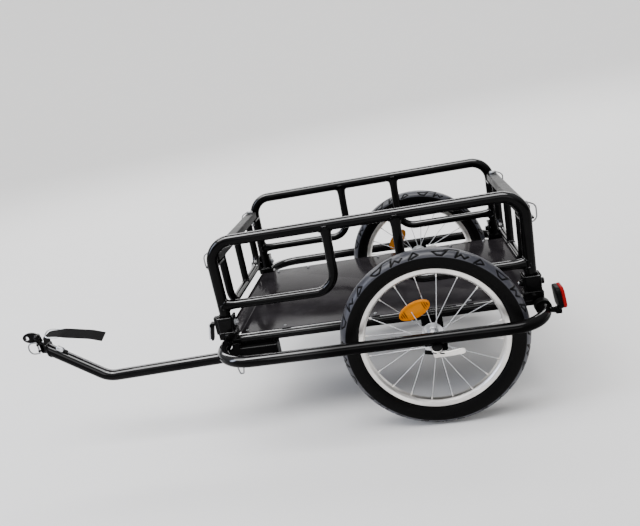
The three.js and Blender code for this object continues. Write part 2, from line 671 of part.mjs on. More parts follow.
for (const [name, side] of SIDES) {
  const y = side * WHEEL_Y;
  add(`tyre_${name}`, tyre(y), 'tyre_rubber');
  add(`rim_${name}`, rim(y), 'alloy');
  add(`laced_hub_${name}`, laced_hub(y), 'alloy');
  add(`spoke_reflector_${name}`, spoke_reflector(y, side, AMBER_ANGLES[name]), 'amber');
  const inner = side * (WHEEL_Y - DROPOUT.off_wheel);
  const outer = side * (WHEEL_Y + DROPOUT.off_wheel);
  const inner_far = inner - side * DROPOUT.thick;
  const outer_far = outer + side * DROPOUT.thick;
  const rail_top = RAIL.z + half(RAIL.tube);
  const inner_plate = dropout(Math.min(inner, inner_far), Math.max(inner, inner_far), rail_top);
  const outer_plate = dropout(Math.min(outer, outer_far), Math.max(outer, outer_far), LOOP.z);
  add(`dropout_inner_${name}`, cut(inner_plate, rail_keepout(side)), 'black_paint');
  add(`dropout_outer_${name}`, cut(outer_plate, loop_keepout), 'black_paint');
  add(`axle_${name}`, axle(side), 'steel');
  add(`wheel_lever_${name}`, wheel_lever(side), 'steel');
}

// Tow bar: one tube with one bend, its receiver, the pull pin and its ring.
const tow_rear = v3(TOW.rear, TOW.y, TOW.rear_z);
const tow_elbow = v3(TOW.elbow, TOW.y, TOW.elbow_z);
const tow_tip = v3(TOW.tip, TOW.y, TOW.tip_z);
const tow_rise = tow_tip.clone().sub(tow_elbow).normalize();
const tow_up = tow_rise.clone().cross(Y);
const pin_share = (TOW_PIN.x - TOW.rear) / (TOW.elbow - TOW.rear);
const tow_pin_at = tow_rear.clone().lerp(tow_elbow, pin_share);
const along_tip = (along, y, up) => tow_tip.clone()
  .addScaledVector(tow_rise, along)
  .addScaledVector(Y, y)
  .addScaledVector(tow_up, up);

function tow_bar() {
  const body = tube(rounded([tow_rear, tow_elbow, tow_tip], TOW.bend), TOW.tube, Y);
  const side_hole = bar(
    tow_pin_at.clone().setY(TOW.y - 2 * TOW.tube),
    tow_pin_at.clone().setY(TOW.y + 2 * TOW.tube),
    TOW_PIN.radius + SLIP_GAP,
  );
  const beyond = box(
    TOW.cut, 2 * TOW.tip,
    TOW.y - 2 * TOW.tube, TOW.y + 2 * TOW.tube,
    TOW.elbow_z, 2 * TOW.tip_z,
  );
  return cut(body, side_hole, beyond);
}
add('tow_bar', tow_bar(), 'black_paint');

// Folded sheet box, open at both ends, that the bar slides into, welded under the left rail.
function tow_receiver() {
  const inner = TOW.tube + RECEIVER.gap;
  const outer = inner + RECEIVER.wall;
  const lowest = tow_rear.clone().lerp(tow_elbow, (RECEIVER.front - TOW.rear) / (TOW.elbow - TOW.rear)).z;
  const bottom = lowest - outer;
  const shell = box(RECEIVER.rear, RECEIVER.front, TOW.y - outer, TOW.y + outer, bottom, RECEIVER.top);
  const hollow = box(
    RECEIVER.rear - OVERRUN, RECEIVER.front + OVERRUN,
    TOW.y - inner, TOW.y + inner,
    bottom + RECEIVER.wall, RECEIVER.top - RECEIVER.wall,
  );
  const side_hole = bar(
    tow_pin_at.clone().setY(TOW.y - 2 * outer),
    tow_pin_at.clone().setY(TOW.y + 2 * outer),
    TOW_PIN.radius + SLIP_GAP,
  );
  const saddle = box(
    RECEIVER.rear + RECEIVER.saddle_from, RECEIVER.front - RECEIVER.saddle_from,
    RAIL.y - half(RECEIVER.saddle), RAIL.y + half(RECEIVER.saddle),
    RECEIVER.top - half(RECEIVER.wall), RAIL.z,
  );
  return cut(join(cut(shell, hollow, side_hole), saddle), rail_keepout(1), loop_keepout);
}
add('tow_receiver', tow_receiver(), 'black_paint');

const receiver_out = TOW.tube + RECEIVER.gap + RECEIVER.wall;
const tow_pin_face = TOW.y + receiver_out + SLIP_GAP;
function tow_pin() {
  const at = (y) => tow_pin_at.clone().setY(y);
  const far_end = TOW.y - receiver_out - TOW_PIN.past;
  const shaft = bar(at(far_end), at(tow_pin_face + TOW_PIN.head_len), TOW_PIN.radius);
  const head = bar(at(tow_pin_face), at(tow_pin_face + 2 * TOW_PIN.head_len), TOW_PIN.head);
  const eye_y = tow_pin_face + TOW_PIN.head_len;
  const eye = bar(
    v3(TOW_PIN.x - 2 * TOW_PIN.head, eye_y, tow_pin_at.z),
    v3(TOW_PIN.x + 2 * TOW_PIN.head, eye_y, tow_pin_at.z),
    TOW_RING.wire + SLIP_GAP,
    WIRE_ROUND,
  );
  return cut(join(shaft, head), eye);
}
add('tow_pin', tow_pin(), 'steel');

// Closed wire ring through the head's eye, hanging down.
function tow_ring() {
  const y = tow_pin_face + TOW_PIN.head_len;
  const wide = half(TOW_RING.width);
  const low = tow_pin_at.z - TOW_RING.drop;
  return wire(rounded([
    v3(TOW_PIN.x - wide, y, tow_pin_at.z),
    v3(TOW_PIN.x + wide, y, tow_pin_at.z),
    v3(TOW_PIN.x + wide, y, low),
    v3(TOW_PIN.x - wide, y, low),
  ], [2 * TOW_RING.wire, 2 * TOW_RING.wire, half(wide), half(wide)], true, WIRE_BEND_STEPS),
  TOW_RING.wire, Y, true);
}
add('tow_ring', tow_ring(), 'steel');

// Hitch: an end plate on the bar's cut tip, with a lug for the yaw pin.
const hitch_at = (x, y, z) => v3(x, TOW.y + y, z);
const hitch_box = (x0, x1, half_y, z0, z1) => box(x0, x1, TOW.y - half_y, TOW.y + half_y, z0, z1);
const upright = (x, y, z0, z1, radius, sides) => bar(hitch_at(x, y, z0), hitch_at(x, y, z1), radius, sides);
const plate_x = TOW.cut + WELD_GAP;
const plate_front = plate_x + CLEVIS.wall;
const fork_low = CLEVIS.lug_low - SLIP_GAP;
const fork_top = CLEVIS.top + SLIP_GAP;
const pin_low = fork_low - COUPLER.flange - SLIP_GAP;
const pin_top = fork_top + COUPLER.flange + SLIP_GAP;

function hitch_clevis() {
  const end_plate = hitch_box(plate_x, plate_front, CLEVIS.half, CLEVIS.low, CLEVIS.top);
  const lug = hitch_box(plate_x, YAW_PIN.x, CLEVIS.lug_half, CLEVIS.lug_low, CLEVIS.top);
  const nose = upright(YAW_PIN.x, 0, CLEVIS.lug_low, CLEVIS.top, CLEVIS.lug_half, ROUND);
  const hole = upright(YAW_PIN.x, 0, CLEVIS.low, 2 * CLEVIS.top, YAW_PIN.radius + SLIP_GAP, ROUND);
  return cut(join(end_plate, lug, nose), hole);
}
add('hitch_clevis', hitch_clevis(), 'black_paint');

// Spring sleeve of the latch, on the bar's top and leaning to its outer side.
function hitch_latch() {
  const lean = THREE.MathUtils.degToRad(LATCH.lean);
  const out = TOW.tube + WELD_GAP + LATCH.radius;
  const at = (along) => along_tip(along, out * Math.sin(lean), out * Math.cos(lean));
  const back = LATCH.along - half(LATCH.long);
  const sleeve = bar(at(back), at(back + LATCH.long), LATCH.radius);
  const tail = bar(at(back - LATCH.tail), at(back), LATCH.tail_radius, HEX);
  return join(sleeve, tail);
}
add('hitch_latch', hitch_latch(), 'steel');

// Two cheeks from the fork's top up to the eye plate, with the slot for it right through between them.
const eye_at = v3(EYE_PLATE.x, TOW.y, EYE_PLATE.z);
const eye_side = (y) => eye_at.clone().setY(TOW.y + y);
const round_pin = (from, to, radius) => bar(from, to, radius, ROUND);
function hitch_ears() {
  const foot = hitch_at(COUPLER.ear_x, 0, fork_top + half(COUPLER.flange));
  const run = eye_at.clone().sub(foot).normalize();
  const length = eye_at.distanceTo(foot) + COUPLER.past;
  const shape = new THREE.BoxGeometry(length, 2 * COUPLER.half, 2 * COUPLER.ear);
  shape.applyMatrix4(new THREE.Matrix4().makeBasis(run, Y, run.clone().cross(Y)));
  const centre = foot.clone().addScaledVector(run, half(length));
  shape.translate(centre.x, centre.y, centre.z);
  const gap = half(EYE_PLATE.thick) + SLIP_GAP;
  const slot = hitch_box(YAW_PIN.x, YAW_PIN.x + EYE_PLATE.long, gap, fork_top, EYE_PLATE.z + EYE_PLATE.tall);
  return cut(solid(shape), slot);
}

// The fork swings sideways round the lug on the yaw pin, and holds the ring's two eyes.
const web_x = YAW_PIN.x + COUPLER.half;
const ring_x = web_x + COUPLER.web + HITCH_RING.wire + SLIP_GAP;
function hitch_coupler() {
  const front = web_x + COUPLER.web;
  const low = fork_low - COUPLER.flange;
  const flanges = [[low, fork_low], [fork_top, fork_top + COUPLER.flange]].map(([z0, z1]) => join(
    hitch_box(YAW_PIN.x, front, COUPLER.half, z0, z1),
    upright(YAW_PIN.x, 0, z0, z1, COUPLER.half, ROUND),
  ));
  const web = hitch_box(web_x, front, COUPLER.half, low, fork_top);
  const eyes = [-1, 1].map((way) => {
    const rise = half(HITCH_RING.height - HITCH_RING.eye_thick) - HITCH_RING.eye_thick;
    const middle = HITCH_RING.z + way * rise;
    const [z0, z1] = [middle - half(HITCH_RING.eye_thick), middle + half(HITCH_RING.eye_thick)];
    return join(
      upright(ring_x, HITCH_RING.eye_off, z0, z1, HITCH_RING.eye),
      box(web_x, ring_x, TOW.y, TOW.y + HITCH_RING.eye_off + half(HITCH_RING.eye), z0, z1),
    );
  });
  const ring_hole = upright(
    ring_x, HITCH_RING.eye_off,
    HITCH_RING.z - HITCH_RING.height, HITCH_RING.z + HITCH_RING.height,
    HITCH_RING.wire + SLIP_GAP, WIRE_ROUND,
  );
  const hole = upright(YAW_PIN.x, 0, CLEVIS.low, 2 * CLEVIS.top, YAW_PIN.radius + RUN_GAP, ROUND);
  const rivet_end = COUPLER.half + RIVET.past;
  const rivet = round_pin(eye_side(-rivet_end), eye_side(rivet_end), RIVET.radius);
  return join(cut(join(...flanges, web, hitch_ears(), ...eyes), hole, ring_hole), rivet);
}
add('hitch_coupler', hitch_coupler(), 'black_plastic');

// Flat oval plate that goes on the bicycle's axle.
function hitch_plate() {
  const centre = eye_at.clone().addScaledVector(X, EYE_PLATE.ahead);
  const slab = plate(oval(EYE_PLATE.long, EYE_PLATE.tall, ROUND), EYE_PLATE.thick, X, Z, centre);
  const axle_at = eye_at.clone().addScaledVector(X, EYE_PLATE.hole_ahead);
  const through = (at, radius) => round_pin(
    at.clone().setY(TOW.y - EYE_PLATE.thick),
    at.clone().setY(TOW.y + EYE_PLATE.thick),
    radius,
  );
  return cut(slab, through(axle_at, EYE_PLATE.hole), through(eye_at, RIVET.radius + RUN_GAP));
}
add('hitch_plate', hitch_plate(), 'black_paint');

// Upright yaw pin with a head at both ends.
function yaw_pin() {
  const low = pin_low - YAW_PIN.head_len;
  const top = pin_top + YAW_PIN.head_len;
  return join(
    upright(YAW_PIN.x, 0, low, top, YAW_PIN.radius, ROUND),
    upright(YAW_PIN.x, 0, low, pin_low, YAW_PIN.head),
    upright(YAW_PIN.x, 0, pin_top, top, YAW_PIN.head),
  );
}
add('yaw_pin', yaw_pin(), 'steel');

// Wire ring through the fork's two eyes, standing ahead of it beside the eye plate.
function hitch_ring() {
  const low = HITCH_RING.z - half(HITCH_RING.height);
  const high = HITCH_RING.z + half(HITCH_RING.height);
  const far = ring_x + HITCH_RING.reach;
  const small = 2 * HITCH_RING.wire;
  const round = half(HITCH_RING.height) - HITCH_RING.wire;
  return wire(rounded([
    hitch_at(ring_x, HITCH_RING.eye_off, low),
    hitch_at(ring_x, HITCH_RING.eye_off, high),
    hitch_at(far, HITCH_RING.eye_off, high),
    hitch_at(far, HITCH_RING.eye_off, low),
  ], [small, small, round, round], true, WIRE_BEND_STEPS), HITCH_RING.wire, Y, true);
}
add('hitch_ring', hitch_ring(), 'steel');

// Flat webbing strap that stands on the end plate, folds back over the bar and turns its face.
const strap_at = (reach, sag) => hitch_at(STRAP.x - reach * STRAP.reach, 0, STRAP.z - sag * STRAP.sag);
function strap_turn(point) {
  const reach = (STRAP.x - point.x) / STRAP.reach;
  const next = STRAP_SHARES.findIndex(([share]) => share >= reach);
  const turn = THREE.MathUtils.degToRad(STRAP.turn);
  if (next < 1) return next < 0 ? turn * STRAP_SHARES.at(-1)[2] : 0;
  const [before, after] = [STRAP_SHARES[next - 1], STRAP_SHARES[next]];
  const share = (reach - before[0]) / (after[0] - before[0]);
  return turn * (before[2] + share * (after[2] - before[2]));
}
function strap() {
  const root = hitch_at(STRAP.x, 0, CLEVIS.top + WELD_GAP);
  const back = STRAP_SHARES.map(([reach, sag]) => strap_at(reach, sag));
  const radii = [0, STRAP.fold, STRAP.bend, 0, STRAP.bend, 0];
  const path = rounded([root, strap_at(0, 0), ...back], radii);
  return sweep(path, rectangle(STRAP.thick, STRAP.width), Y, false, undefined, strap_turn);
}
add('strap', strap(), 'webbing');

// Oblong ring that lies on the strap just behind its fold.
function strap_ring() {
  const run = strap_at(...STRAP_SHARES[0]).sub(strap_at(0, 0)).normalize();
  const up = Y.clone().cross(run);
  const lift = half(STRAP.thick) + STRAP_RING.wire + WELD_GAP;
  const wide = half(STRAP_RING.width);
  const at = (along, y) => strap_at(0, 0)
    .addScaledVector(run, along)
    .addScaledVector(Y, y)
    .addScaledVector(up, lift);
  const near = STRAP_RING.behind;
  const far = near + STRAP_RING.length;
  return wire(rounded([at(near, -wide), at(near, wide), at(far, wide), at(far, -wide)],
    STRAP_RING.bend, true, WIRE_BEND_STEPS), STRAP_RING.wire, up, true);
}
add('strap_ring', strap_ring(), 'steel');

// Rear left reflector: ring clamp on the loop with its arm, case and lens.
const clamp_out = LOOP.tube + WELD_GAP + CLAMP.wall;
const arm_end = v3(LOOP.rear - ARM.reach, CLAMP.y, LOOP.z - ARM.drop);

function reflector_clamp() {
  const ring = bar(
    v3(LOOP.rear, CLAMP.y - half(CLAMP.width), LOOP.z),
    v3(LOOP.rear, CLAMP.y + half(CLAMP.width), LOOP.z),
    clamp_out,
    ROUND,
  );
  const arm = bar(v3(LOOP.rear, CLAMP.y, LOOP.z - half(clamp_out)), arm_end, ARM.radius);
  const post = box(
    arm_end.x - half(ARM.width), arm_end.x + half(ARM.width),
    CLAMP.y - half(ARM.width), CLAMP.y + half(ARM.width),
    arm_end.z - ARM.radius, REAR_LENS.z - half(REAR_LENS.tall) - WELD_GAP,
  );
  return cut(join(ring, arm, post), loop_keepout);
}
add('reflector_clamp', reflector_clamp(), 'black_plastic');

// Rounded outline of the lens and its case, seen from behind.
function lens_outline() {
  const [w, h, r] = [half(REAR_LENS.wide), half(REAR_LENS.tall), REAR_LENS.round];
  return rounded([v3(w, h, 0), v3(-w, h, 0), v3(-w, -h, 0), v3(w, -h, 0)], r, true)
    .map((point) => new THREE.Vector2(point.x, point.y));
}
const case_at = v3(arm_end.x, CLAMP.y, REAR_LENS.z);
const lens_at = case_at.clone().addScaledVector(X, -half(REAR_LENS.case_thick + REAR_LENS.thick) - WELD_GAP);
add('reflector_case', plate(lens_outline(), REAR_LENS.case_thick, Y, Z, case_at), 'black_plastic');
add('reflector_lens', plate(lens_outline(), REAR_LENS.thick, Y, Z, lens_at), 'red_lens');

export default group;
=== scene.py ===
"""Cargo trailer for a bicycle: fine surfaces, finishes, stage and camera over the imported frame.

Every shape is worked out in millimetres from the middle of the wheel axle, +X ahead, +Y left and
+Z up, and build_piece() moves it into the frame, in metres.
"""
import math
from types import SimpleNamespace

import bpy
import numpy as np
from mathutils import Matrix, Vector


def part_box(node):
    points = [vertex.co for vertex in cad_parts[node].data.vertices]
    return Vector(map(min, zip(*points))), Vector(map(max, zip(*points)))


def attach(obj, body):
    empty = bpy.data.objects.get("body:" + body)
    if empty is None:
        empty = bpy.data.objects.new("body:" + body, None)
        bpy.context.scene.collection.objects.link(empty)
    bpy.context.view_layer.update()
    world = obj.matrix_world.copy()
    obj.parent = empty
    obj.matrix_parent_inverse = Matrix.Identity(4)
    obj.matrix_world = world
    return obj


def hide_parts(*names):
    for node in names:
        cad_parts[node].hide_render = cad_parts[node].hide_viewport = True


bl_info = {
    "name": "Bicycle cargo trailer",
    "version": (1, 0, 0),
    "blender": (4, 5, 0),
    "location": "View3D > Sidebar > Trailer",
    "description": "Builds the surfaces, finishes and stage of a bicycle cargo trailer",
    "category": "Object",
}

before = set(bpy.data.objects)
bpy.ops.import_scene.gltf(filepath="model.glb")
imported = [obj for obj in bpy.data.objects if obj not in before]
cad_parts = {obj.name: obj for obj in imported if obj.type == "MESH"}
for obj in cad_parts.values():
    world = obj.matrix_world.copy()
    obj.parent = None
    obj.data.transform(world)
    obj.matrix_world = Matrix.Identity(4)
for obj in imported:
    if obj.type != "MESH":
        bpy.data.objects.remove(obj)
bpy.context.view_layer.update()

MM = 0.001
RIM_LOW, RIM_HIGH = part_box("rim_left")
AXLE_AT = np.array([(RIM_LOW.x + RIM_HIGH.x) / 2, 0.0, (RIM_LOW.z + RIM_HIGH.z) / 2])
X, Y, Z = np.eye(3)
SIDES = (("left", 1), ("right", -1))
HALF_TURN = math.pi

# Places in millimetres from the axle.
LOOP = SimpleNamespace(y=350.7, z=24.8, front=466.0, rear=-233.0, front_bend=82.0, rear_bend=80.0)
RAIL = SimpleNamespace(y=230.6, z=27.4)
CROSS_TUBES = (330.0, 120.0, -90.0)
DECK = SimpleNamespace(half=228.0, front=470.0, rear=-238.0, bottom=37.8, thick=2.0, lip=4.0)
DECK_NOTCH = SimpleNamespace(y=215.0, front=434.7, rear=-196.7)
DECK_BOLT = SimpleNamespace(radius=4.0, height=1.8, inset=14.0)
POST = SimpleNamespace(front=458.2, rear=-220.2, y=230.6, low=56.3, top=263.3, bend=50.0)
ENDS = (("front", 1, POST.front), ("rear", -1, POST.rear))
BRACE = SimpleNamespace(
    z=114.0, reach=264.0, bend=46.0, flare=0.5, flare_run=34.0, thin=0.12, joint=0.92,
)
BRACKET = SimpleNamespace(
    half_x=18.5, wall=4.0, low=37.8, floor=52.0, top=90.0, inner_y=216.0, web_y=245.7, neck_x=21.0,
    collar=1.4, collar_z=4.0,
)
BRACKET_BOLT = SimpleNamespace(radius=6.0, thick=4.0, z=44.5, washer=7.4, washer_len=2.0, sunk=1.0)
SKEWER = SimpleNamespace(
    radius=3.0, z=71.0, nut=7.0, nut_len=7.0, washer=7.8, washer_len=1.6, block=8.0,
    block_len=9.0, block_tall=43.2, block_low=2.4, gap=0.3,
)
PANEL_LEVER = SimpleNamespace(thick=7.5, width=13.0, arm=37.0, cam=8.0, lean=9.0, gap=0.5, strip=4.5)
GATE = SimpleNamespace(
    out=3.0, bar_x=26.0, bar_z=20.0, z=222.0, end=204.0, side_y=148.0, low=88.0, bend=38.0,
    plug=1.6, plug_in=1.0, plug_len=1.8, upright_less=0.5,
)
LUG = SimpleNamespace(thick=4.0, depth=30.0, start=176.0, gap=0.5)
PIN = SimpleNamespace(radius=4.0, y=194.0, head=7.0, head_len=6.0, below=10.0, gap=0.4)
PIN_LOOP = SimpleNamespace(wire=1.6, reach=27.0, sag=8.0, under=2.2, slip=0.4)
WHEEL_Y = 295.3
RIM = SimpleNamespace(outer=158.5, inner=145.0, half=12.0)
TYRE = SimpleNamespace(
    bead=158.8, foot=148.0, middle=0.56, above=0.44, below=0.66, square=0.92, rows=1080,
)
TREAD = SimpleNamespace(
    pitches=9, edge=76.0, fade=0.06, line=2.9, soft=1.0, ridge=0.35, ridge_at=77.0, ridge_wide=0.035,
)
HUB = SimpleNamespace(flange=23.0, flange_y=26.0, shell=13.0, half=49.3, bore=5.2)
SPOKE = SimpleNamespace(
    radius=0.92, root=20.0, nipple=1.8, nipple_len=7.0, inside=3.2, elbow=1.9, head=2.0, rim_off=2.5,
)
AMBER = SimpleNamespace(
    long=70.0, tall=34.0, thick=7.0, radius=80.5, off=14.0, rim=2.2, rim_wide=2.5, field_low=1.2,
    rib=2.6, rib_tall=1.0, rib_low=1.6,
)
# Ribs at each end: share of the length out from the middle, and share of the height.
AMBER_RIB_SHARES = ((0.30, 0.50), (0.36, 0.38), (0.42, 0.22))
AMBER_DEGREES = {"left": 67.0, "right": 44.0}
AXLE = SimpleNamespace(
    radius=5.0, inner_end=9.0, outer_end=6.0, nut=9.0, washer=9.6, washer_len=1.8, gap=0.6,
)
DROPOUT = SimpleNamespace(
    front=21.6, rear=25.1, front_low=7.0, thick=4.0, low=-5.5, slot=10.8, off_wheel=50.0,
)
WHEEL_LEVER = SimpleNamespace(
    cap_len=14.0, arm=57.0, thick=5.0, height=13.0, drop=3.0, bow=5.0, disc=10.5, disc_z=9.5,
    slip=0.4,
)
TOW = SimpleNamespace(
    y=235.0, rear=(352.0, -6.7), elbow=(778.0, -21.6), tip=(917.0, 73.7), bend=60.0, cut=904.7,
)
# The bar's section near its bend: flatter and wider by these shares, with small waves inside it.
TOW_BEND = SimpleNamespace(back=10.0, reach=16.0, flat=0.035, wide=0.02, wave=0.012, wave_rate=0.9)
RECEIVER = SimpleNamespace(
    rear=350.0, front=450.0, wall=3.0, gap=0.6, top=13.0, saddle=12.0, saddle_in=12.0, saddle_sunk=2.0,
    plug=1.4, plug_in=0.3,
)
TOW_PIN = SimpleNamespace(x=443.0, radius=4.0, head=8.0, head_len=5.0, past=8.0)
TOW_RING = SimpleNamespace(wire=1.8, width=22.0, drop=37.0, foot=4.0)
END_PLATE = SimpleNamespace(x=905.0, thick=3.0, half=14.0, low=49.0, top=84.0)
HITCH_LUG = SimpleNamespace(half=6.0, low=66.4)
LATCH = SimpleNamespace(along=-38.0, long=18.0, radius=6.5, tail=10.0, tail_radius=3.5, lean=20.0)
YAW_PIN = SimpleNamespace(x=915.4, radius=3.2, head=5.0, head_len=3.0, gap=0.4)
FORK = SimpleNamespace(
    half=7.0, flange=4.0, low=66.0, top=84.4, web_x=922.4, web=4.0, ear=5.0, ear_x=926.0, past=7.0,
    slot_half=2.4,
)
PIVOT_HEAD = SimpleNamespace(radius=4.4, height=2.0, sunk=0.5)
EYE_PLATE = SimpleNamespace(
    x=929.0, z=103.0, long=44.0, tall=27.0, thick=4.0, ahead=15.0, hole=5.2, hole_ahead=25.0,
)
HITCH_RING = SimpleNamespace(wire=1.7, height=28.0, reach=25.0, z=78.0, x=928.2, eye=3.0, eye_off=9.0)
STRAP = SimpleNamespace(
    x=906.5, z=108.0, low=84.3, thick=2.0, fold=9.0, bend=60.0, reach=145.0, sag=27.0, turn=38.0,
)
# Shares of the reach back and of the sag, and then of the reach and of the turn.
STRAP_SHARES = ((0.3, 0.12), (0.46, 0.28), (0.8, 0.63), (1.0, 1.0))
STRAP_TURN_SHARES = ((0.0, 0.0), (0.1, 0.30), (0.26, 0.55), (0.36, 1.0), (1.0, 0.9))
WEBBING = SimpleNamespace(ribs=11, pick=2.2)
STRAP_RING = SimpleNamespace(roll=20.0, wire=1.4, width=30.0, length=38.0, bend=12.0, behind=4.0, gap=0.3)
CLAMP = SimpleNamespace(y=261.0, wall=4.0, width=20.0)
ARM = SimpleNamespace(radius=6.0, width=13.0, reach=31.0, drop=13.0, lean=0.12)
LENS = SimpleNamespace(tall=46.0, wide=48.0, thick=7.0, case=9.0, round=13.0, z=43.5, foot=19.4, gap=0.3)

# The floor, in metres: level from the near edge to the bend, then up to the far edge.
FLOOR = SimpleNamespace(near=-40.0, bend_at=14.6, far=39.2, rise=17.2, bend=40.0, half=30.0, gap=0.0005)

# The photograph's view, in metres and directions of the frame.
CAMERA_AT = (-0.10182, 1.47935, 0.51952)
CAMERA_RIGHT = (-0.97711901, -0.10417337, -0.18543557)
CAMERA_DOWN = (0.14548602, 0.30862649, -0.93999123)
CAMERA_AHEAD = (0.15515238, -0.94546158, -0.28640904)
CAMERA_LENS = 33.952


def size_prop(name, description, default):
    return bpy.props.FloatProperty(
        name=name, description=description, default=default, unit="LENGTH", subtype="DISTANCE"
    )


def colour_prop(name, description, default):
    return bpy.props.FloatVectorProperty(
        name=name, description=description, default=default, size=3, min=0.0, max=1.0, subtype="COLOR"
    )


class TrailerSizes(bpy.types.PropertyGroup):
    """Sizes of the tubes, wheels and webbing."""

    loop_tube: size_prop("Loop tube", "Radius of the outer loop's tube", 0.0127)
    rail_tube: size_prop("Rail tube", "Radius of the deck's long rails", 0.010)
    cross_tube: size_prop("Cross tube", "Radius of the deck's cross tubes", 0.009)
    post_tube: size_prop("Post tube", "Radius of the side panels' hoops", 0.0125)
    brace_tube: size_prop("Brace tube", "Radius of the side panels' L tubes", 0.0105)
    gate_tube: size_prop("Gate tube", "Radius of the gates' U tubes", 0.0095)
    tow_tube: size_prop("Tow tube", "Radius of the tow bar", 0.0136)
    tyre_radius: size_prop("Tyre radius", "From the axle to the tread", 0.199)
    tyre_width: size_prop("Tyre width", "Widest place of the tyre", 0.047)
    tread_depth: size_prop("Tread depth", "Depth of the tread's grooves", 0.0011)
    weld_bead: size_prop("Weld bead", "Radius of a weld bead", 0.0019)
    strap_width: size_prop("Strap width", "Width of the safety strap", 0.025)
    spokes: bpy.props.IntProperty(
        name="Spokes", description="Spokes in each wheel", default=20, min=8, max=48
    )


class TrailerColours(bpy.types.PropertyGroup):
    """Colours of the finishes."""

    paint: colour_prop("Paint", "Gloss coat on the tubes", (0.0015, 0.0014, 0.0015))
    deck: colour_prop("Deck", "Coated sheet of the deck", (0.013, 0.0115, 0.013))
    steel: colour_prop("Steel", "Zinc plated steel", (0.70, 0.71, 0.73))
    alloy: colour_prop("Alloy", "Satin rim and lever", (0.93, 0.90, 0.86))
    rubber: colour_prop("Rubber", "Tyre sidewalls", (0.0015, 0.0014, 0.0014))
    # The tread colour is partly dust and partly painted sheen on the band.
    tread: colour_prop("Tread", "Dusty tread band of the tyres", (0.020, 0.0205, 0.028))
    amber: colour_prop("Amber", "Spoke reflectors", (0.60, 0.19, 0.000))
    red: colour_prop("Red", "Rear reflector", (0.34, 0.007, 0.010))
    plastic: colour_prop("Plastic", "Black moulded pieces", (0.0025, 0.0025, 0.0026))
    webbing: colour_prop("Webbing", "Woven safety strap", (0.0030, 0.0027, 0.0027))
    floor: colour_prop("Floor", "Studio floor", (0.80, 0.79, 0.78))


def unit(vector):
    return np.asarray(vector, float) / np.linalg.norm(vector)


def spot(x, y, z):
    return np.array([x, y, z], float)


# Surfaces. Each one is a tuple of points, quads and closing faces.


def outward(points, quads, caps):
    """Flip the faces if the signed volume, the sum of a · (b × c) over all triangles, is negative."""
    local = points - points.mean(axis=0)
    a, b, c, d = (local[quads[:, k]] for k in range(4))
    volume = np.einsum("ij,ij->", a, np.cross(b, c)) + np.einsum("ij,ij->", a, np.cross(c, d))
    for cap in caps:
        rim = local[cap]
        volume += np.einsum("j,ij->", rim[0], np.cross(rim[1:-1], rim[2:]))
    if volume < 0:
        quads = quads[:, ::-1]
        caps = [cap[::-1] for cap in caps]
    return points, quads, caps


def lattice(points, wrap_rows=False):
    """A grid of points as quads: columns close round the piece, rows close or end in flat caps."""
    rows, cols = points.shape[:2]
    i = np.arange(rows if wrap_rows else rows - 1)[:, None]
    j = np.arange(cols)[None, :]
    ahead, beside = (i + 1) % rows, (j + 1) % cols
    corners = (i * cols + j, i * cols + beside, ahead * cols + beside, ahead * cols + j)
    quads = np.stack(np.broadcast_arrays(*corners), axis=-1).reshape(-1, 4)
    caps = [] if wrap_rows else [np.arange(cols)[::-1], (rows - 1) * cols + np.arange(cols)]
    return outward(points.reshape(-1, 3), quads, caps)


def bent(corners, radii, closed=False, step=5.0):
    """Straight runs joined by arcs: centre + (start·sin(t − a) + end·sin(a)) / sin(t) for a in 0..t."""
    corners = np.asarray(corners, float)
    count = len(corners)
    radii = np.broadcast_to(radii, count)
    runs = []
    for k in range(count):
        if radii[k] == 0 or (not closed and k in (0, count - 1)):
            runs.append(corners[k:k + 1])
            continue
        back = unit(corners[k - 1] - corners[k])
        ahead = unit(corners[(k + 1) % count] - corners[k])
        half_open = 0.5 * np.arccos(np.clip(back @ ahead, -1, 1))
        turn = HALF_TURN - 2 * half_open
        if turn < 1e-6:
            runs.append(corners[k:k + 1])
            continue
        centre = corners[k] + unit(back + ahead) * radii[k] / np.sin(half_open)
        start = corners[k] + back * radii[k] / np.tan(half_open) - centre
        end = corners[k] + ahead * radii[k] / np.tan(half_open) - centre
        angles = np.linspace(0, turn, max(3, math.ceil(math.degrees(turn) / step) + 1))[:, None]
        runs.append(centre + (np.sin(turn - angles) * start + np.sin(angles) * end) / np.sin(turn))
    return np.vstack(runs)


def rounded(rows, step=20):
    """Closed outline from rows of two places and the corner's round."""
    rows = np.array(rows)
    return bent(rows[:, :2], rows[:, 2], closed=True, step=step)


def with_mirror(rows):
    """Rows, and then their mirror image from last to first."""
    return rows + [(a, -b, around) for a, b, around in reversed(rows)]


def tongue(start, end, half, foot):
    """Strip with one round end, and its foot's corners rounded a little."""
    nose = half - 0.02
    return rounded([(start, -half, foot), (end, -half, nose), (end, half, nose), (start, half, foot)], 10)


def dense(path, spacing):
    """The same path with points added along its length, no further apart than the spacing."""
    steps = np.linalg.norm(np.diff(path, axis=0), axis=1)
    run = np.concatenate([[0], np.cumsum(steps)])
    even = np.linspace(0, run[-1], int(run[-1] / spacing) + 2)
    stations = np.unique(np.round(np.concatenate([run, even]), 3))
    stations[-1] = run[-1]
    return np.stack([np.interp(stations, run, path[:, k]) for k in range(3)], axis=1), stations


def tangents(path, closed):
    """Unit directions: each is the sum of the unit directions of the runs before and after."""
    ahead = np.roll(path, -1, axis=0) - path
    ahead /= np.maximum(np.linalg.norm(ahead, axis=1, keepdims=True), 1e-9)
    if not closed:
        ahead[-1] = ahead[-2]
    back = np.roll(ahead, 1, axis=0)
    if not closed:
        back[0] = ahead[0]
    both = ahead + back
    return both / np.linalg.norm(both, axis=1, keepdims=True)


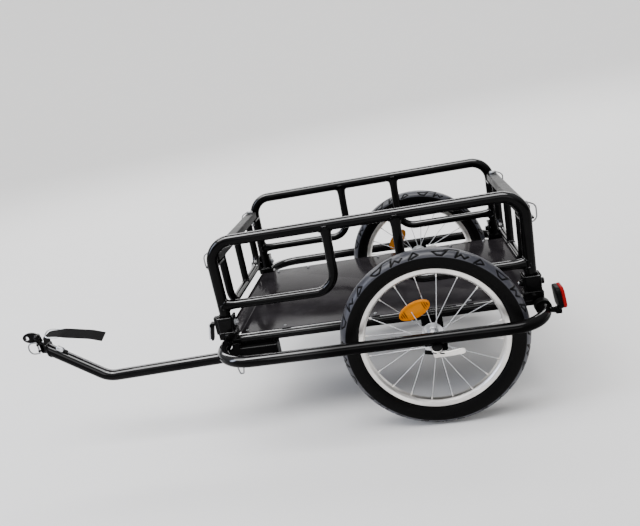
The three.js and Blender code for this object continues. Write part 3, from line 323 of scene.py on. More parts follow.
def swept(path, section, normal, closed=False, scale=None, turn=0.0):
    """Carry a section along a flat path: path + side·u·scale0 + normal·w·scale1.

    Turn is the section's angle about the path, one for each of its points or one for all.
    """
    side = np.cross(normal, tangents(path, closed))
    side /= np.linalg.norm(side, axis=1, keepdims=True)
    scale = np.ones((len(path), 2)) if scale is None else scale
    c = np.cos(turn) * np.ones((len(path), 1))
    s = np.sin(turn) * np.ones((len(path), 1))
    u = (section[None, :, 0] * c - section[None, :, 1] * s) * scale[:, :1]
    w = (section[None, :, 1] * c + section[None, :, 0] * s) * scale[:, 1:]
    points = path[:, None] + side[:, None] * u[..., None] + normal * w[..., None]
    return lattice(points, wrap_rows=closed)


def ring_section(radius, sides=24):
    """Points of a circle, or of a regular polygon where the sides are few."""
    angles = np.linspace(0, 2 * HALF_TURN, sides, endpoint=False)
    return radius * np.stack([np.cos(angles), np.sin(angles)], axis=1)


def tube(path, radius, normal, closed=False, sides=28):
    return swept(path, ring_section(radius, sides), normal, closed)


def soft_rectangle(width, height, radius, step=15.0):
    """Rectangle with round corners, as a closed outline."""
    w, h = width / 2, height / 2
    return bent([(w, h), (-w, h), (-w, -h), (w, -h)], radius, closed=True, step=step)


def oval(long, tall, count=64):
    return ring_section(0.5, count) * (long, tall)


def inset(outline, depth):
    """Move each corner of a closed outline inwards along its mitre."""
    edge = np.roll(outline, -1, axis=0) - outline
    edge /= np.linalg.norm(edge, axis=1, keepdims=True)
    normal = np.stack([-edge[:, 1], edge[:, 0]], axis=1)
    before = np.roll(normal, 1, axis=0)
    mitre = normal + before
    mitre /= np.maximum(np.einsum("ij,ij->i", mitre, normal)[:, None], 0.3)
    x, y = outline.T
    turn = np.sign(np.sum(x * np.roll(y, -1) - y * np.roll(x, -1)))
    return outline + depth * turn * mitre


EDGE_STEPS = np.radians([0, 30, 60, 90])


def edge_rows(outline, depth, edge):
    """Outline and height of each row of a plate whose two edges are quarter rounds."""
    low = [(inset(outline, edge * (1 - np.sin(t))), edge * (1 - np.cos(t))) for t in EDGE_STEPS]
    high = [(ring, depth - height) for ring, height in reversed(low)]
    return low + high


def raised(rows, origin, u, v):
    """Points of a plate's rows: origin + u·x + v·y + w·height, w = u × v."""
    w = np.cross(u, v)
    return np.stack([origin + ring[:, :1] * u + ring[:, 1:] * v + height * w for ring, height in rows])


def prism(outline, depth, origin, u, v, edge=0.5):
    """Plate on an outline, with rounded edges."""
    return lattice(raised(edge_rows(outline, depth, edge), origin, u, v))


def pierced(outer, inner, depth, origin, u, v, edge=0.5):
    """Plate with one hole: the outer rows up, then the hole's rows down, closed into a ring."""
    rows = edge_rows(outer, depth, edge) + edge_rows(inner, depth, -edge)[::-1]
    return lattice(raised(rows, origin, u, v), wrap_rows=True)


def folded(path, thick):
    """Outline of a bent sheet: the path moved half its thickness to each side."""
    way = tangents(np.hstack([path, np.zeros((len(path), 1))]), False)[:, :2]
    normal = np.stack([-way[:, 1], way[:, 0]], axis=1)
    return np.vstack([path + normal * thick / 2, (path - normal * thick / 2)[::-1]])


def across(axis):
    """Two unit directions square to an axis and to each other."""
    start = Z if abs(axis[2]) < 0.9 else X
    u = unit(np.cross(axis, start))
    return u, np.cross(axis, u)


def turned(profile, origin, axis, segments=48, ring=False):
    """Profile of (radius, height): origin + axis·height + radius·(u·cos a + v·sin a)."""
    profile = np.asarray(profile, float)
    axis = unit(axis)
    u, v = across(axis)
    angles = np.linspace(0, 2 * HALF_TURN, segments, endpoint=False)[:, None]
    around = np.cos(angles) * u + np.sin(angles) * v
    radius, height = profile[:, 0], profile[:, 1]
    points = origin + height[:, None, None] * axis + radius[:, None, None] * around[None]
    return lattice(points, wrap_rows=ring)


def rod(start, end, radius, edge=0.6, segments=28):
    """Round bar with rounded ends."""
    start = np.asarray(start, float)
    length = np.linalg.norm(end - start)
    low = [(radius - edge * (1 - np.sin(t)), edge * (1 - np.cos(t))) for t in EDGE_STEPS]
    high = [(r, length - h) for r, h in reversed(low)]
    return turned(low + high, start, end - start, segments)


def hex_nut(start, end, radius, edge=0.8):
    axis = unit(end - start)
    u, v = across(axis)
    return prism(ring_section(radius, 6), np.linalg.norm(end - start), start, u, v, edge)


def weld(centre, along, main_axis, radius, main_radius, bead, ripples=26):
    """Bead on the curve where a tube meets a main tube.

    The curve is along·sqrt(R² − (r·cos a)²) + side·r·cos a + axis·r·sin a, and the bead's radius
    swells by a sine of the same angle.
    """
    side = unit(np.cross(along, main_axis))
    a = np.linspace(0, 2 * HALF_TURN, 4 * ripples, endpoint=False)[:, None]
    out = np.sqrt(np.maximum(main_radius ** 2 - (radius * np.cos(a)) ** 2, 0.05))
    radial = side * np.cos(a) + main_axis * np.sin(a)
    curve = centre + along * out + radial * radius
    swell = bead * (1 + 0.16 * np.sin(ripples * a))
    p = np.linspace(0, 2 * HALF_TURN, 10, endpoint=False)[None, :, None]
    points = curve[:, None] + swell[:, None] * (radial[:, None] * np.cos(p) + along * np.sin(p))
    return lattice(points, wrap_rows=True)


def loop_wire(corners, radii, wire, normal, sides=12):
    return tube(bent(corners, radii, closed=True, step=12), wire, normal, closed=True, sides=sides)


# Pieces.


def dressed(key, *surfaces):
    """Pair each surface with the key of its finish."""
    return [(surface, key) for surface in surfaces]


def build_piece(name, parts, body, replaced=(), sharp=38.0, fields=None):
    """Join (surface, finish key) pairs into one object. The fields are values at its points."""
    points, faces, slots = [], [], []
    keys = list(dict.fromkeys(key for _, key in parts))
    offset = 0
    for (places, quads, caps), key in parts:
        own = (quads + offset).tolist() + [(cap + offset).tolist() for cap in caps]
        faces += own
        slots += [keys.index(key)] * len(own)
        points.append(places)
        offset += len(places)
    mesh = bpy.data.meshes.new(name)
    mesh.from_pydata((np.vstack(points) * MM + AXLE_AT).tolist(), [], faces)
    for key in keys:
        mesh.materials.append(finish(key))
    mesh.polygons.foreach_set("material_index", slots)
    mesh.polygons.foreach_set("use_smooth", [True] * len(faces))
    mesh.set_sharp_from_angle(angle=math.radians(sharp))
    for field_name, values in (fields or {}).items():
        layer = mesh.attributes.new(field_name, "FLOAT", "POINT")
        layer.data.foreach_set("value", np.ascontiguousarray(values, dtype=np.float32).ravel())
    mesh.update()
    piece = add_object(name, mesh)
    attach(piece, body)
    if replaced:
        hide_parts(*replaced)
    return piece


def build_painted(name, replaced, *surfaces):
    """Fixed piece in gloss paint."""
    build_piece(name, dressed("paint", *surfaces), "chassis", [replaced])


def build_steel(name, replaced, *surfaces):
    """Fixed piece in bright steel."""
    build_piece(name, dressed("steel", *surfaces), "chassis", [replaced])


def add_object(name, data):
    made = bpy.data.objects.new(name, data)
    bpy.context.scene.collection.objects.link(made)
    return made


# Finishes.


def fill(tree, node, inputs):
    """Link or set each of a node's named inputs."""
    for key, value in inputs.items():
        if isinstance(value, bpy.types.NodeSocket):
            tree.links.new(value, node.inputs[key])
        else:
            node.inputs[key].default_value = value


def add_node(tree, kind, inputs=None, **settings):
    made = tree.nodes.new(kind)
    for key, value in settings.items():
        setattr(made, key, value)
    fill(tree, made, inputs or {})
    return made


def group_tree(name, inputs, outputs):
    """A shader node group whose inputs are named floats or vectors, and whose outputs are floats."""
    tree = bpy.data.node_groups.new(name, "ShaderNodeTree")
    for socket, default in inputs.items():
        kind = "NodeSocketFloat" if isinstance(default, float) else "NodeSocketVector"
        tree.interface.new_socket(socket, in_out="INPUT", socket_type=kind).default_value = default
    for socket in outputs:
        tree.interface.new_socket(socket, in_out="OUTPUT", socket_type="NodeSocketFloat")
    return tree, tree.nodes.new("NodeGroupInput").outputs, tree.nodes.new("NodeGroupOutput")


def ramp(tree, value, low, high):
    """A smooth step from 0 at the low value to 1 at the high one."""
    inputs = {"Value": value, "From Min": low, "From Max": high}
    return add_node(tree, "ShaderNodeMapRange", inputs, interpolation_type="SMOOTHSTEP").outputs["Result"]


def spread(tree, value, ends, low=0.0, high=1.0):
    """The value's way from low to high, laid out evenly between two ends."""
    inputs = {"Value": value, "From Min": low, "From Max": high, "To Min": ends[0], "To Max": ends[1]}
    return add_node(tree, "ShaderNodeMapRange", inputs).outputs["Result"]


def noise(tree, vector, scale, detail, roughness=0.5):
    inputs = {"Vector": vector, "Scale": scale, "Detail": detail, "Roughness": roughness}
    return add_node(tree, "ShaderNodeTexNoise", inputs).outputs["Fac"]


def maths(tree, operation, a, b=0.0):
    return add_node(tree, "ShaderNodeMath", {0: a, 1: b}, operation=operation).outputs[0]


def product(tree, a, b):
    return maths(tree, "MULTIPLY", a, b)


def split(tree, vector):
    return add_node(tree, "ShaderNodeSeparateXYZ", {"Vector": vector}).outputs


def coat_ripple_group(name):
    """Slow waves and fine peel of a sprayed or powder coat, as heights and as patches."""
    tree, given, out = group_tree(name, {"Vector": (0, 0, 0), "Peel": 900.0}, ("Height", "Patches"))
    slow = noise(tree, given["Vector"], 38.0, 2.0)
    peel = noise(tree, given["Vector"], given["Peel"], 1.0)
    patches = noise(tree, given["Vector"], 9.0, 5.0, 0.62)
    height = maths(tree, "ADD", product(tree, slow, 0.7), product(tree, peel, 0.3))
    fill(tree, out, {"Height": height, "Patches": ramp(tree, patches, 0.38, 0.66)})
    return tree


def dust_group(name):
    """Dust that lies on faces that look up, thicker in some patches."""
    inputs = {"Vector": (0, 0, 0), "Normal": (0, 0, 1), "Amount": 0.2}
    tree, given, out = group_tree(name, inputs, ("Mask",))
    facing = ramp(tree, split(tree, given["Normal"])["Z"], 0.1, 1.0)
    patchy = ramp(tree, noise(tree, given["Vector"], 22.0, 6.0, 0.7), 0.35, 0.75)
    fill(tree, out, {"Mask": product(tree, product(tree, facing, patchy), given["Amount"])})
    return tree


def edge_wear_group(name):
    """Lighter rub marks where the surface turns sharply outwards."""
    tree, given, out = group_tree(name, {"Vector": (0, 0, 0), "Amount": 0.3}, ("Mask",))
    ridge = ramp(tree, add_node(tree, "ShaderNodeNewGeometry").outputs["Pointiness"], 0.53, 0.62)
    spots = ramp(tree, noise(tree, given["Vector"], 160.0, 4.0), 0.42, 0.62)
    fill(tree, out, {"Mask": product(tree, product(tree, ridge, spots), given["Amount"])})
    return tree


def fine_lines_group(name):
    """Thin lines drawn along one direction, as on brushed or turned metal."""
    tree, given, out = group_tree(name, {"Vector": (0, 0, 0), "Stretch": (1, 1, 60)}, ("Lines",))
    inputs = {0: given["Vector"], 1: given["Stretch"]}
    longer = add_node(tree, "ShaderNodeVectorMath", inputs, operation="MULTIPLY").outputs["Vector"]
    fill(tree, out, {"Lines": noise(tree, longer, 22.0, 3.0, 0.6)})
    return tree


GROUPS = {
    "Coat ripple": coat_ripple_group, "Settled dust": dust_group,
    "Edge wear": edge_wear_group, "Fine lines": fine_lines_group,
}


def use_group(tree, name, inputs):
    """Outputs of a shared node group, which is made at its first use."""
    shared = bpy.data.node_groups.get(name) or GROUPS[name](name)
    return add_node(tree, "ShaderNodeGroup", inputs, node_tree=shared).outputs


def blank_finish(name):
    """Material with a Principled shader and its output, and the object's own coordinates."""
    material = bpy.data.materials.new(name)
    material.use_nodes = True
    tree = material.node_tree
    tree.nodes.clear()
    shader = tree.nodes.new("ShaderNodeBsdfPrincipled")
    output = tree.nodes.new("ShaderNodeOutputMaterial")
    tree.links.new(shader.outputs["BSDF"], output.inputs["Surface"])
    return material, tree, shader, tree.nodes.new("ShaderNodeTexCoord").outputs


def mix_colour(tree, factor, a, b):
    """Mix two colours, each a socket or a plain colour."""
    a, b = (c if isinstance(c, bpy.types.NodeSocket) else (*c[:3], 1.0) for c in (a, b))
    return add_node(tree, "ShaderNodeMix", {"Factor": factor, 6: a, 7: b}, data_type="RGBA").outputs[2]


def bump(tree, height, strength, distance):
    inputs = {"Height": height, "Strength": strength, "Distance": distance}
    return add_node(tree, "ShaderNodeBump", inputs).outputs["Normal"]


def coated(name, colour, roughness, dust, wear, worn_colour, peel, shine, low=0.22, metallic=0.0):
    """Paint or powder coat: ripple, patches of gloss, settled dust, rubbed edges, and more shine on faces
    that look up, a painted highlight along the tops.

    Low down and towards the rear, beside the wheels, only the share "low" of the shine is left: painted
    shade that dims the highlights there.
    """
    material, tree, shader, place = blank_finish(name)
    spot_at, normal = place["Object"], place["Normal"]
    ripple = use_group(tree, "Coat ripple", {"Vector": spot_at})
    film = use_group(tree, "Settled dust", {"Vector": spot_at, "Normal": normal, "Amount": dust})["Mask"]
    rub = use_group(tree, "Edge wear", {"Vector": spot_at, "Amount": wear})["Mask"]
    lighter = tuple(min(1.0, c * 1.5 + 0.001) for c in colour)
    base = mix_colour(tree, ripple["Patches"], colour, lighter)
    worn = mix_colour(tree, rub, base, worn_colour)
    rough = spread(tree, ripple["Patches"], roughness)
    # Painted highlight: the shine rises on faces that look up, so the tops catch a bright line.
    gloss = spread(tree, split(tree, normal)["Z"], shine, 0.25, 0.75)
    where = split(tree, spot_at)
    # Painted shade: low down and towards the rear the shine drops to the share low, dimming the highlights
    # there.
    painted_highlight_mask = maths(tree, "MAXIMUM", ramp(tree, where["Z"], 0.02, 0.06), ramp(tree, where["X"], 0.08, 0.18))
    fill(tree, shader, {
        "Base Color": mix_colour(tree, film, worn, DUST_COLOUR),
        "Roughness": maths(tree, "ADD", rough, product(tree, film, 0.5)),
        "Normal": bump(tree, ripple["Height"], peel, 0.0006),
        "Specular IOR Level": product(tree, gloss, spread(tree, painted_highlight_mask, (low, 1.0))),
        "Metallic": metallic,
    })
    return material


DUST_COLOUR = (0.30, 0.28, 0.26)
DARK_RUB = (0.012, 0.012, 0.012)
TUBE_COAT = {"dust": 0.004, "wear": 0.30, "worn_colour": DARK_RUB, "peel": 0.035}


def paint_finish(colours):
    return coated("gloss_black_coat", colours.paint, (0.08, 0.15), shine=(0.05, 1.0), **TUBE_COAT)


def shaded_finish(colours):
    """The same coat on flat sheet parts, duller from handling."""
    return coated("dull_black_coat", colours.paint, (0.25, 0.35), shine=(0.012, 0.28), **TUBE_COAT)


def deck_finish(colours):
    """Smooth coated sheet with faint rub marks and cleaner and duller patches."""
    return coated("deck_sheet_coat", colours.deck, (0.10, 0.17), dust=0.015, wear=0.3, peel=0.05,
                  worn_colour=(0.12, 0.11, 0.11), shine=(0.010, 0.016), low=0.6, metallic=0.10)


def plastic_finish(colours):
    return coated("moulded_black", colours.plastic, (0.34, 0.46), dust=0.01, wear=0.15, peel=0.35,
                  worn_colour=(0.010, 0.010, 0.010), shine=(0.08, 0.25))


def metal(name, colour, roughness, stretch=(1.0, 1.0, 1.0)):
    """Bright metal with drawn lines, darker blooms and a little uneven gloss."""
    material, tree, shader, place = blank_finish(name)
    drawn = use_group(tree, "Fine lines", {"Vector": place["Object"], "Stretch": stretch})["Lines"]
    ripple = use_group(tree, "Coat ripple", {"Vector": place["Object"], "Peel": 500.0})
    dull = tuple(c * 0.72 for c in colour)
    fill(tree, shader, {
        "Base Color": mix_colour(tree, ripple["Patches"], dull, colour),
        "Roughness": spread(tree, drawn, roughness),
        "Normal": bump(tree, drawn, 0.12, 0.0004),
        "Metallic": 1.0,
    })
    return material


def steel_finish(colours):
    return metal("zinc_steel", colours.steel, (0.22, 0.40))


def wire_finish(colours):
    return metal("drawn_wire", tuple(c * 0.36 for c in colours.steel), (0.25, 0.42))


def alloy_finish(colours):
    return metal("satin_alloy", colours.alloy, (0.30, 0.44), stretch=(1.0, 14.0, 1.0))


def field(tree, name):
    """A piece's own point values."""
    return add_node(tree, "ShaderNodeAttribute", attribute_name=name).outputs["Fac"]


def rubber_finish(colours):
    """Black sidewall and a blue-grey tread band, partly dust and partly painted sheen, split by the tyre's
    own tread field.
    """
    material, tree, shader, place = blank_finish("tyre_rubber_coat")
    band, groove = field(tree, "tread"), field(tree, "groove")
    ripple = use_group(tree, "Coat ripple", {"Vector": place["Object"], "Peel": 1400.0})
    # Painted sheen: the band's blue-grey colour is partly dust and partly light on the tread; the grooves
    # keep the black sidewall colour.
    pale = tuple(c * 1.35 for c in colours.tread)
    dust_and_sheen = mix_colour(tree, ripple["Patches"], colours.tread, pale)
    worn = mix_colour(tree, groove, dust_and_sheen, colours.rubber)
    fill(tree, shader, {
        "Base Color": mix_colour(tree, band, colours.rubber, worn),
        "Roughness": spread(tree, band, (0.52, 0.40)),
        "Normal": bump(tree, ripple["Height"], 0.25, 0.0008),
        "Specular IOR Level": spread(tree, maths(tree, "SUBTRACT", band, groove), (0.06, 0.62)),
    })
    return material


def lens_finish(name, colour, cell, depth):
    """Moulded reflector: a clear face over rows of small prisms."""
    material, tree, shader, place = blank_finish(name)
    inputs = {"Vector": place["Object"], "Scale": cell, "Randomness": 0.12}
    cells = add_node(tree, "ShaderNodeTexVoronoi", inputs).outputs["Distance"]
    deep = tuple(c * depth for c in colour)
    fill(tree, shader, {
        "Base Color": mix_colour(tree, ramp(tree, cells, 0.1, 0.75), colour, deep),
        "Normal": bump(tree, cells, 0.35, 0.0006),
        "Roughness": 0.22,
        "Specular IOR Level": 0.03,
    })
    return material


def amber_finish(colours):
    return lens_finish("amber_prisms", colours.amber, 420.0, 0.80)


def dark_amber_finish(colours):
    return lens_finish("amber_ends", tuple(c * 0.35 for c in colours.amber), 800.0, 0.5)


def red_finish(colours):
    return lens_finish("red_prisms", colours.red, 360.0, 0.45)


def webbing_finish(colours):
    """Woven nylon: ribs along the strap and picks across it, from the strap's own fields."""
    material, tree, shader, _ = blank_finish("woven_webbing")
    ribs = maths(tree, "SINE", product(tree, field(tree, "over"), 2 * HALF_TURN * WEBBING.ribs))
    picks = maths(tree, "SINE", product(tree, field(tree, "run"), 2 * HALF_TURN / WEBBING.pick))
    shade = ramp(tree, product(tree, ribs, picks), -1.0, 1.0)
    pale = tuple(c * 2.6 + 0.002 for c in colours.webbing)
    fill(tree, shader, {
        "Base Color": mix_colour(tree, shade, colours.webbing, pale),
        "Normal": bump(tree, shade, 0.6, 0.0006),
        "Roughness": 0.72,
        "Specular IOR Level": 0.10,
    })
    return material


def floor_finish(colours):
    material, tree, shader, place = blank_finish("pale_floor")
    dim = tuple(c * 0.97 for c in colours.floor)
    cloud = noise(tree, place["Object"], 3.0, 4.0)
    fill(tree, shader, {"Base Color": mix_colour(tree, cloud, colours.floor, dim), "Roughness": 0.7})
    return material


FINISHES = {
    "paint": paint_finish, "shaded": shaded_finish, "deck": deck_finish, "plastic": plastic_finish,
    "steel": steel_finish, "wire": wire_finish, "alloy": alloy_finish, "rubber": rubber_finish,
    "amber": amber_finish, "amber_dark": dark_amber_finish, "red": red_finish,
    "webbing": webbing_finish, "floor": floor_finish,
}
made_finishes = {}


def finish(key):
    """The material of that key, made once from the scene's colours."""
    if key not in made_finishes:
        made_finishes[key] = FINISHES[key](bpy.context.scene.trailer_colours)
    return made_finishes[key]


def mm(length):
    return length / MM


# Frame and deck.


def loop_path():
    corners = [
        (LOOP.front, LOOP.y, LOOP.z), (LOOP.rear, LOOP.y, LOOP.z),
        (LOOP.rear, -LOOP.y, LOOP.z), (LOOP.front, -LOOP.y, LOOP.z),
    ]
    bends = (LOOP.front_bend, LOOP.rear_bend, LOOP.rear_bend, LOOP.front_bend)
    return bent(corners, bends, closed=True, step=4)


def build_frame_tubes(sizes):
    """The outer loop, the two rails and the cross tubes, with their weld beads."""
    loop, rail = mm(sizes.loop_tube), mm(sizes.rail_tube)
    cross, bead = mm(sizes.cross_tube), mm(sizes.weld_bead)
    ring = tube(loop_path(), loop, Z, closed=True, sides=32)
    build_painted("bent_loop", "outer_loop", ring)
    parts = []
    for _, side in SIDES:
        y = side * RAIL.y
        ends = np.array([(LOOP.rear, y, RAIL.z), (LOOP.front, y, RAIL.z)])
        parts.append(tube(ends, rail, Z))
        for x, way in ((LOOP.front, -1), (LOOP.rear, 1)):
            parts.append(weld(spot(x, y, RAIL.z), way * X, Y, rail, loop, bead))
        for x in CROSS_TUBES:
            parts.append(weld(spot(x, y, RAIL.z), -side * Y, X, cross, rail, bead))
    for x in CROSS_TUBES:
        ends = np.array([(x, -RAIL.y, RAIL.z), (x, RAIL.y, RAIL.z)])
        parts.append(tube(ends, cross, Z))
    build_painted("deck_rails", "deck_frame", *parts)


def deck_outline():
    """Plan of the sheet with a notch at each corner for the brackets."""
    half, notch, front, rear = DECK.half, DECK_NOTCH.y, DECK_NOTCH.front, DECK_NOTCH.rear
    return rounded(with_mirror([
        (DECK.front - DECK.thick, notch, 1), (front, notch, 3), (front, half, 4),
        (rear, half, 4), (rear, notch, 3), (DECK.rear + DECK.thick, notch, 1),
    ]))


def build_deck():
    """The sheet, its turned-up lips and the bolts into the rails and cross tubes."""
    thick, tall = DECK.thick, DECK.thick + DECK.lip
    sheets = [prism(deck_outline(), thick, spot(0, 0, DECK.bottom), X, Y, 0.5)]
    for x in (DECK.front - thick / 2, DECK.rear + thick / 2):
        start = spot(x, DECK_NOTCH.y, DECK.bottom + tall / 2)
        run = np.array([start, start * (1, -1, 1)])
        sheets.append(swept(run, soft_rectangle(thick, tall, 0.7), Z))
    dome = bolt_dome(DECK_BOLT.radius, DECK_BOLT.height)
    end_bolts = (DECK_NOTCH.front - DECK_BOLT.inset, DECK_NOTCH.rear + DECK_BOLT.inset)
    bolts = []
    for x in CROSS_TUBES + end_bolts:
        for _, side in SIDES:
            at = spot(x, side * (DECK.half - DECK_BOLT.inset), DECK.bottom + thick)
            bolts.append(turned(dome, at, Z, 24))
    parts = dressed("deck", *sheets) + dressed("wire", *bolts)
    build_piece("deck_sheet", parts, "chassis", ["deck_panel"])


def bolt_dome(radius, height):
    """Round bolt head: radius·cos t against height·sin t, closed just short of its pole."""
    t = np.radians(np.linspace(0, 84, 8))
    return np.stack([radius * np.cos(t), height * np.sin(t)], axis=1)


# Side panels.


def brace_path(way, post_x, y):
    """From the post along the bottom, round the bend and up to the top rail."""
    turn_x = post_x - way * BRACE.reach
    corners = [(post_x, y, BRACE.z), (turn_x, y, BRACE.z), (turn_x, y, POST.top)]
    return dense(bent(corners, BRACE.bend, step=5), 4.0)


def brace_scale(stations):
    """Ends pressed wider in the panel's plane and thinner across: 1 + flare·s², s = 1 at the end."""
    from_end = np.minimum(stations, stations[-1] - stations)
    s = np.clip(1 - from_end / BRACE.flare_run, 0, 1) ** 2
    return np.stack([1 + BRACE.flare * s * 1.1, 1 - BRACE.thin * s], axis=1)


def gate_lug(side, end_x):
    """Lug beside the post with the lock pin's hole through it."""
    start = LUG.start
    top = GATE.z - GATE.bar_z / 2 - LUG.gap
    outline = soft_rectangle(LUG.depth, POST.y - start, 3.0)
    middle = spot(end_x, side * (POST.y + start) / 2, top - LUG.thick)
    hole = ring_section(PIN.radius + PIN.gap, len(outline))
    hole += (0, side * PIN.y - middle[1])
    return pierced(align(outline, hole), hole, LUG.thick, middle, X, Y, 0.6)


def build_side_panel(sizes, name, side):
    """Hoop, two L tubes with pressed ends, weld beads and the gate lugs."""
    y = side * POST.y
    post, brace, bead = mm(sizes.post_tube), mm(sizes.brace_tube), mm(sizes.weld_bead)
    joint = brace * (1 + BRACE.flare * 0.8) * BRACE.joint
    hoop = bent([
        (POST.front, y, POST.low), (POST.front, y, POST.top),
        (POST.rear, y, POST.top), (POST.rear, y, POST.low),
    ], POST.bend, step=4)
    parts = [tube(hoop, post, Y, sides=32)]
    for _, way, post_x in ENDS:
        path, stations = brace_path(way, post_x, y)
        parts += [
            swept(path, ring_section(brace, 28), Y, scale=brace_scale(stations)),
            weld(spot(post_x - way * BRACE.reach, y, POST.top), -Z, X, joint, post, bead),
            weld(spot(post_x, y, BRACE.z), -way * X, Z, joint, post, bead),
            gate_lug(side, post_x + way * GATE.out),
        ]
    build_painted(f"panel_tubes_{name}", f"side_panel_{name}", *parts)


def align(outer, inner):
    """Start the outer outline where the inner one starts, so that the rings don't twist."""
    centre = inner.mean(axis=0)
    angle = np.arctan2(*(outer - centre).T[::-1])
    first = int(np.argmin(np.abs(angle)))
    return np.roll(outer, -first, axis=0)


# Corner brackets, skewers and their levers.


def build_bracket(end, post_x, name, side):
    """Folded channel with a collar at its top and foot, a neck block and a bolt."""
    inner, outer = side * BRACKET.inner_y, side * (BRACKET.web_y + BRACKET.wall)
    web, wall_x = side * (BRACKET.web_y + BRACKET.wall / 2), BRACKET.half_x - BRACKET.wall / 2
    channel = bent([(-wall_x, inner), (-wall_x, web), (wall_x, web), (wall_x, inner)], 4.5, step=12)
    outline = folded(channel, BRACKET.wall)
    rim = folded(channel, BRACKET.wall + BRACKET.collar)
    parts = [prism(outline, BRACKET.top - BRACKET.floor, spot(post_x, 0, BRACKET.floor), X, Y, 0.7)]
    for z in (BRACKET.floor - 1.0, BRACKET.top - BRACKET.collar_z):
        parts.append(prism(rim, BRACKET.collar_z, spot(post_x, 0, z), X, Y, 1.0))
    middle, deep = (inner + outer) / 2, abs(outer - inner)
    floor = soft_rectangle(2 * BRACKET.half_x - 1.0, deep - 1.0, 2.0)
    parts.append(prism(floor, BRACKET.wall, spot(post_x, middle, BRACKET.floor), X, Y, 0.5))
    neck, neck_z = soft_rectangle(2 * BRACKET.neck_x, deep, 4.0), BRACKET.low
    parts.append(prism(neck, BRACKET.floor - neck_z + 1.0, spot(post_x, middle, neck_z), X, Y, 0.8))
    bolt = BRACKET_BOLT
    at = lambda out: spot(post_x, outer + side * (out - bolt.sunk), bolt.z)
    parts.append(rod(at(0), at(bolt.washer_len), bolt.washer, 0.4))
    parts.append(hex_nut(at(bolt.washer_len - 0.1), at(bolt.sunk + bolt.thick), bolt.radius))
    build_painted(f"corner_channel_{end}_{name}", f"bracket_{end}_{name}", *parts)


def build_skewer(end, way, post_x, name, side):
    """Rod through bracket and post with a nut, and a cam block or a plain nut on the other end."""
    at = lambda x: spot(x, side * POST.y, SKEWER.z)
    nut_face = post_x - way * (BRACKET.half_x + SKEWER.gap)
    far_face = post_x + way * (BRACKET.half_x + SKEWER.gap)
    nut_end = nut_face - way * SKEWER.nut_len
    length, key = (SKEWER.block_len, "steel") if end == "front" else (SKEWER.nut_len, "paint")
    block_end = far_face + way * length
    parts = [
        (rod(at(nut_end - way * 1.5), at(block_end), SKEWER.radius), "steel"),
        (rod(at(nut_face), at(nut_face - way * SKEWER.washer_len), SKEWER.washer, 0.4), key),
        (hex_nut(at(nut_face - way * 1.5), at(nut_end), SKEWER.nut), key),
    ]
    if end == "front":
        outline = soft_rectangle(2 * SKEWER.block, SKEWER.block_tall, 3.5)
        start = at(far_face) - Z * SKEWER.block_low
        parts.append((prism(outline, length, start, Y, Z, 1.2), "plastic"))
    else:
        parts.append((hex_nut(at(far_face), at(block_end), SKEWER.nut), key))
    build_piece(f"skewer_rod_{end}_{name}", parts, "chassis", [f"skewer_{end}_{name}"])


# Shares of a lever blade's section at its last three stations.
LEVER_TIP = np.array([[0.97], [0.88], [0.70]])


def build_panel_lever(name, side):
    """Leaning lever on a round cam: a moulded inner half under a bright outer strip."""
    y, z, wide = side * POST.y, SKEWER.z, PANEL_LEVER.width / 2
    face = POST.front + BRACKET.half_x + SKEWER.gap + SKEWER.block_len + PANEL_LEVER.gap
    centre = face + PANEL_LEVER.cam
    cam = rod(spot(centre, y - wide, z), spot(centre, y + wide, z), PANEL_LEVER.cam * 0.7, 1.2, 36)
    low, lean = z - PANEL_LEVER.arm, PANEL_LEVER.lean
    top = centre - PANEL_LEVER.cam / 4
    corners = [(top, y, z + 6), (top + lean / 2 + 1, y, (z + low) / 2), (top + lean, y, low)]
    path, stations = dense(bent(corners, PANEL_LEVER.arm / 2, step=6), 2.0)
    share = stations / stations[-1]
    scale = np.stack([1 - 0.2 * share ** 2, np.ones_like(share)], axis=1)
    scale[-3:] *= LEVER_TIP
    blade = swept(path, soft_rectangle(PANEL_LEVER.thick, PANEL_LEVER.width, 2.2), Y, scale=scale)
    strip_path = path[1:-2] + X * (PANEL_LEVER.thick + PANEL_LEVER.strip) / 2
    strip = swept(strip_path, soft_rectangle(PANEL_LEVER.strip, PANEL_LEVER.width - 2, 1.6), Y)
    parts = dressed("plastic", cam, blade) + dressed("steel", strip)
    build_piece(f"cam_lever_{name}", parts, f"panel_lever_body_{name}", [f"panel_lever_{name}"])


# Gates and lock pins.


def build_gate(sizes, end, way, post_x):
    """Rectangular top bar with end plugs, the U tube and the middle upright."""
    x, z, side_y, low = post_x + way * GATE.out, GATE.z, GATE.side_y, GATE.low
    round_tube, bead = mm(sizes.gate_tube), mm(sizes.weld_bead)
    upright = round_tube - GATE.upright_less
    bar = soft_rectangle(GATE.bar_x, GATE.bar_z, 3.0, step=12)
    parts = dressed("shaded", swept(np.array([(x, -GATE.end, z), (x, GATE.end, z)]), bar, Z))
    for side in (-1, 1):
        start = spot(x, side * (GATE.end - GATE.plug_in), z)
        run = np.array([start, start + side * Y * GATE.plug_len])
        parts += dressed("plastic", swept(run, inset(bar, GATE.plug), Z))
    corners = [(x, side_y, z), (x, side_y, low), (x, -side_y, low), (x, -side_y, z)]
    tubes = [tube(bent(corners, GATE.bend, step=5), round_tube, X)]
    tubes.append(tube(np.array([(x, 0, low), (x, 0, z)]), upright, X))
    for y in (-side_y, 0, side_y):
        tubes.append(weld(spot(x, y, z - GATE.bar_z / 2), -Z, Y, round_tube, 0.1, bead))
    tubes.append(weld(spot(x, 0, low), Z, Y, upright, round_tube, bead))
    build_piece(f"gate_tubes_{end}", parts + dressed("paint", *tubes), "chassis",
                [f"gate_{end}"])


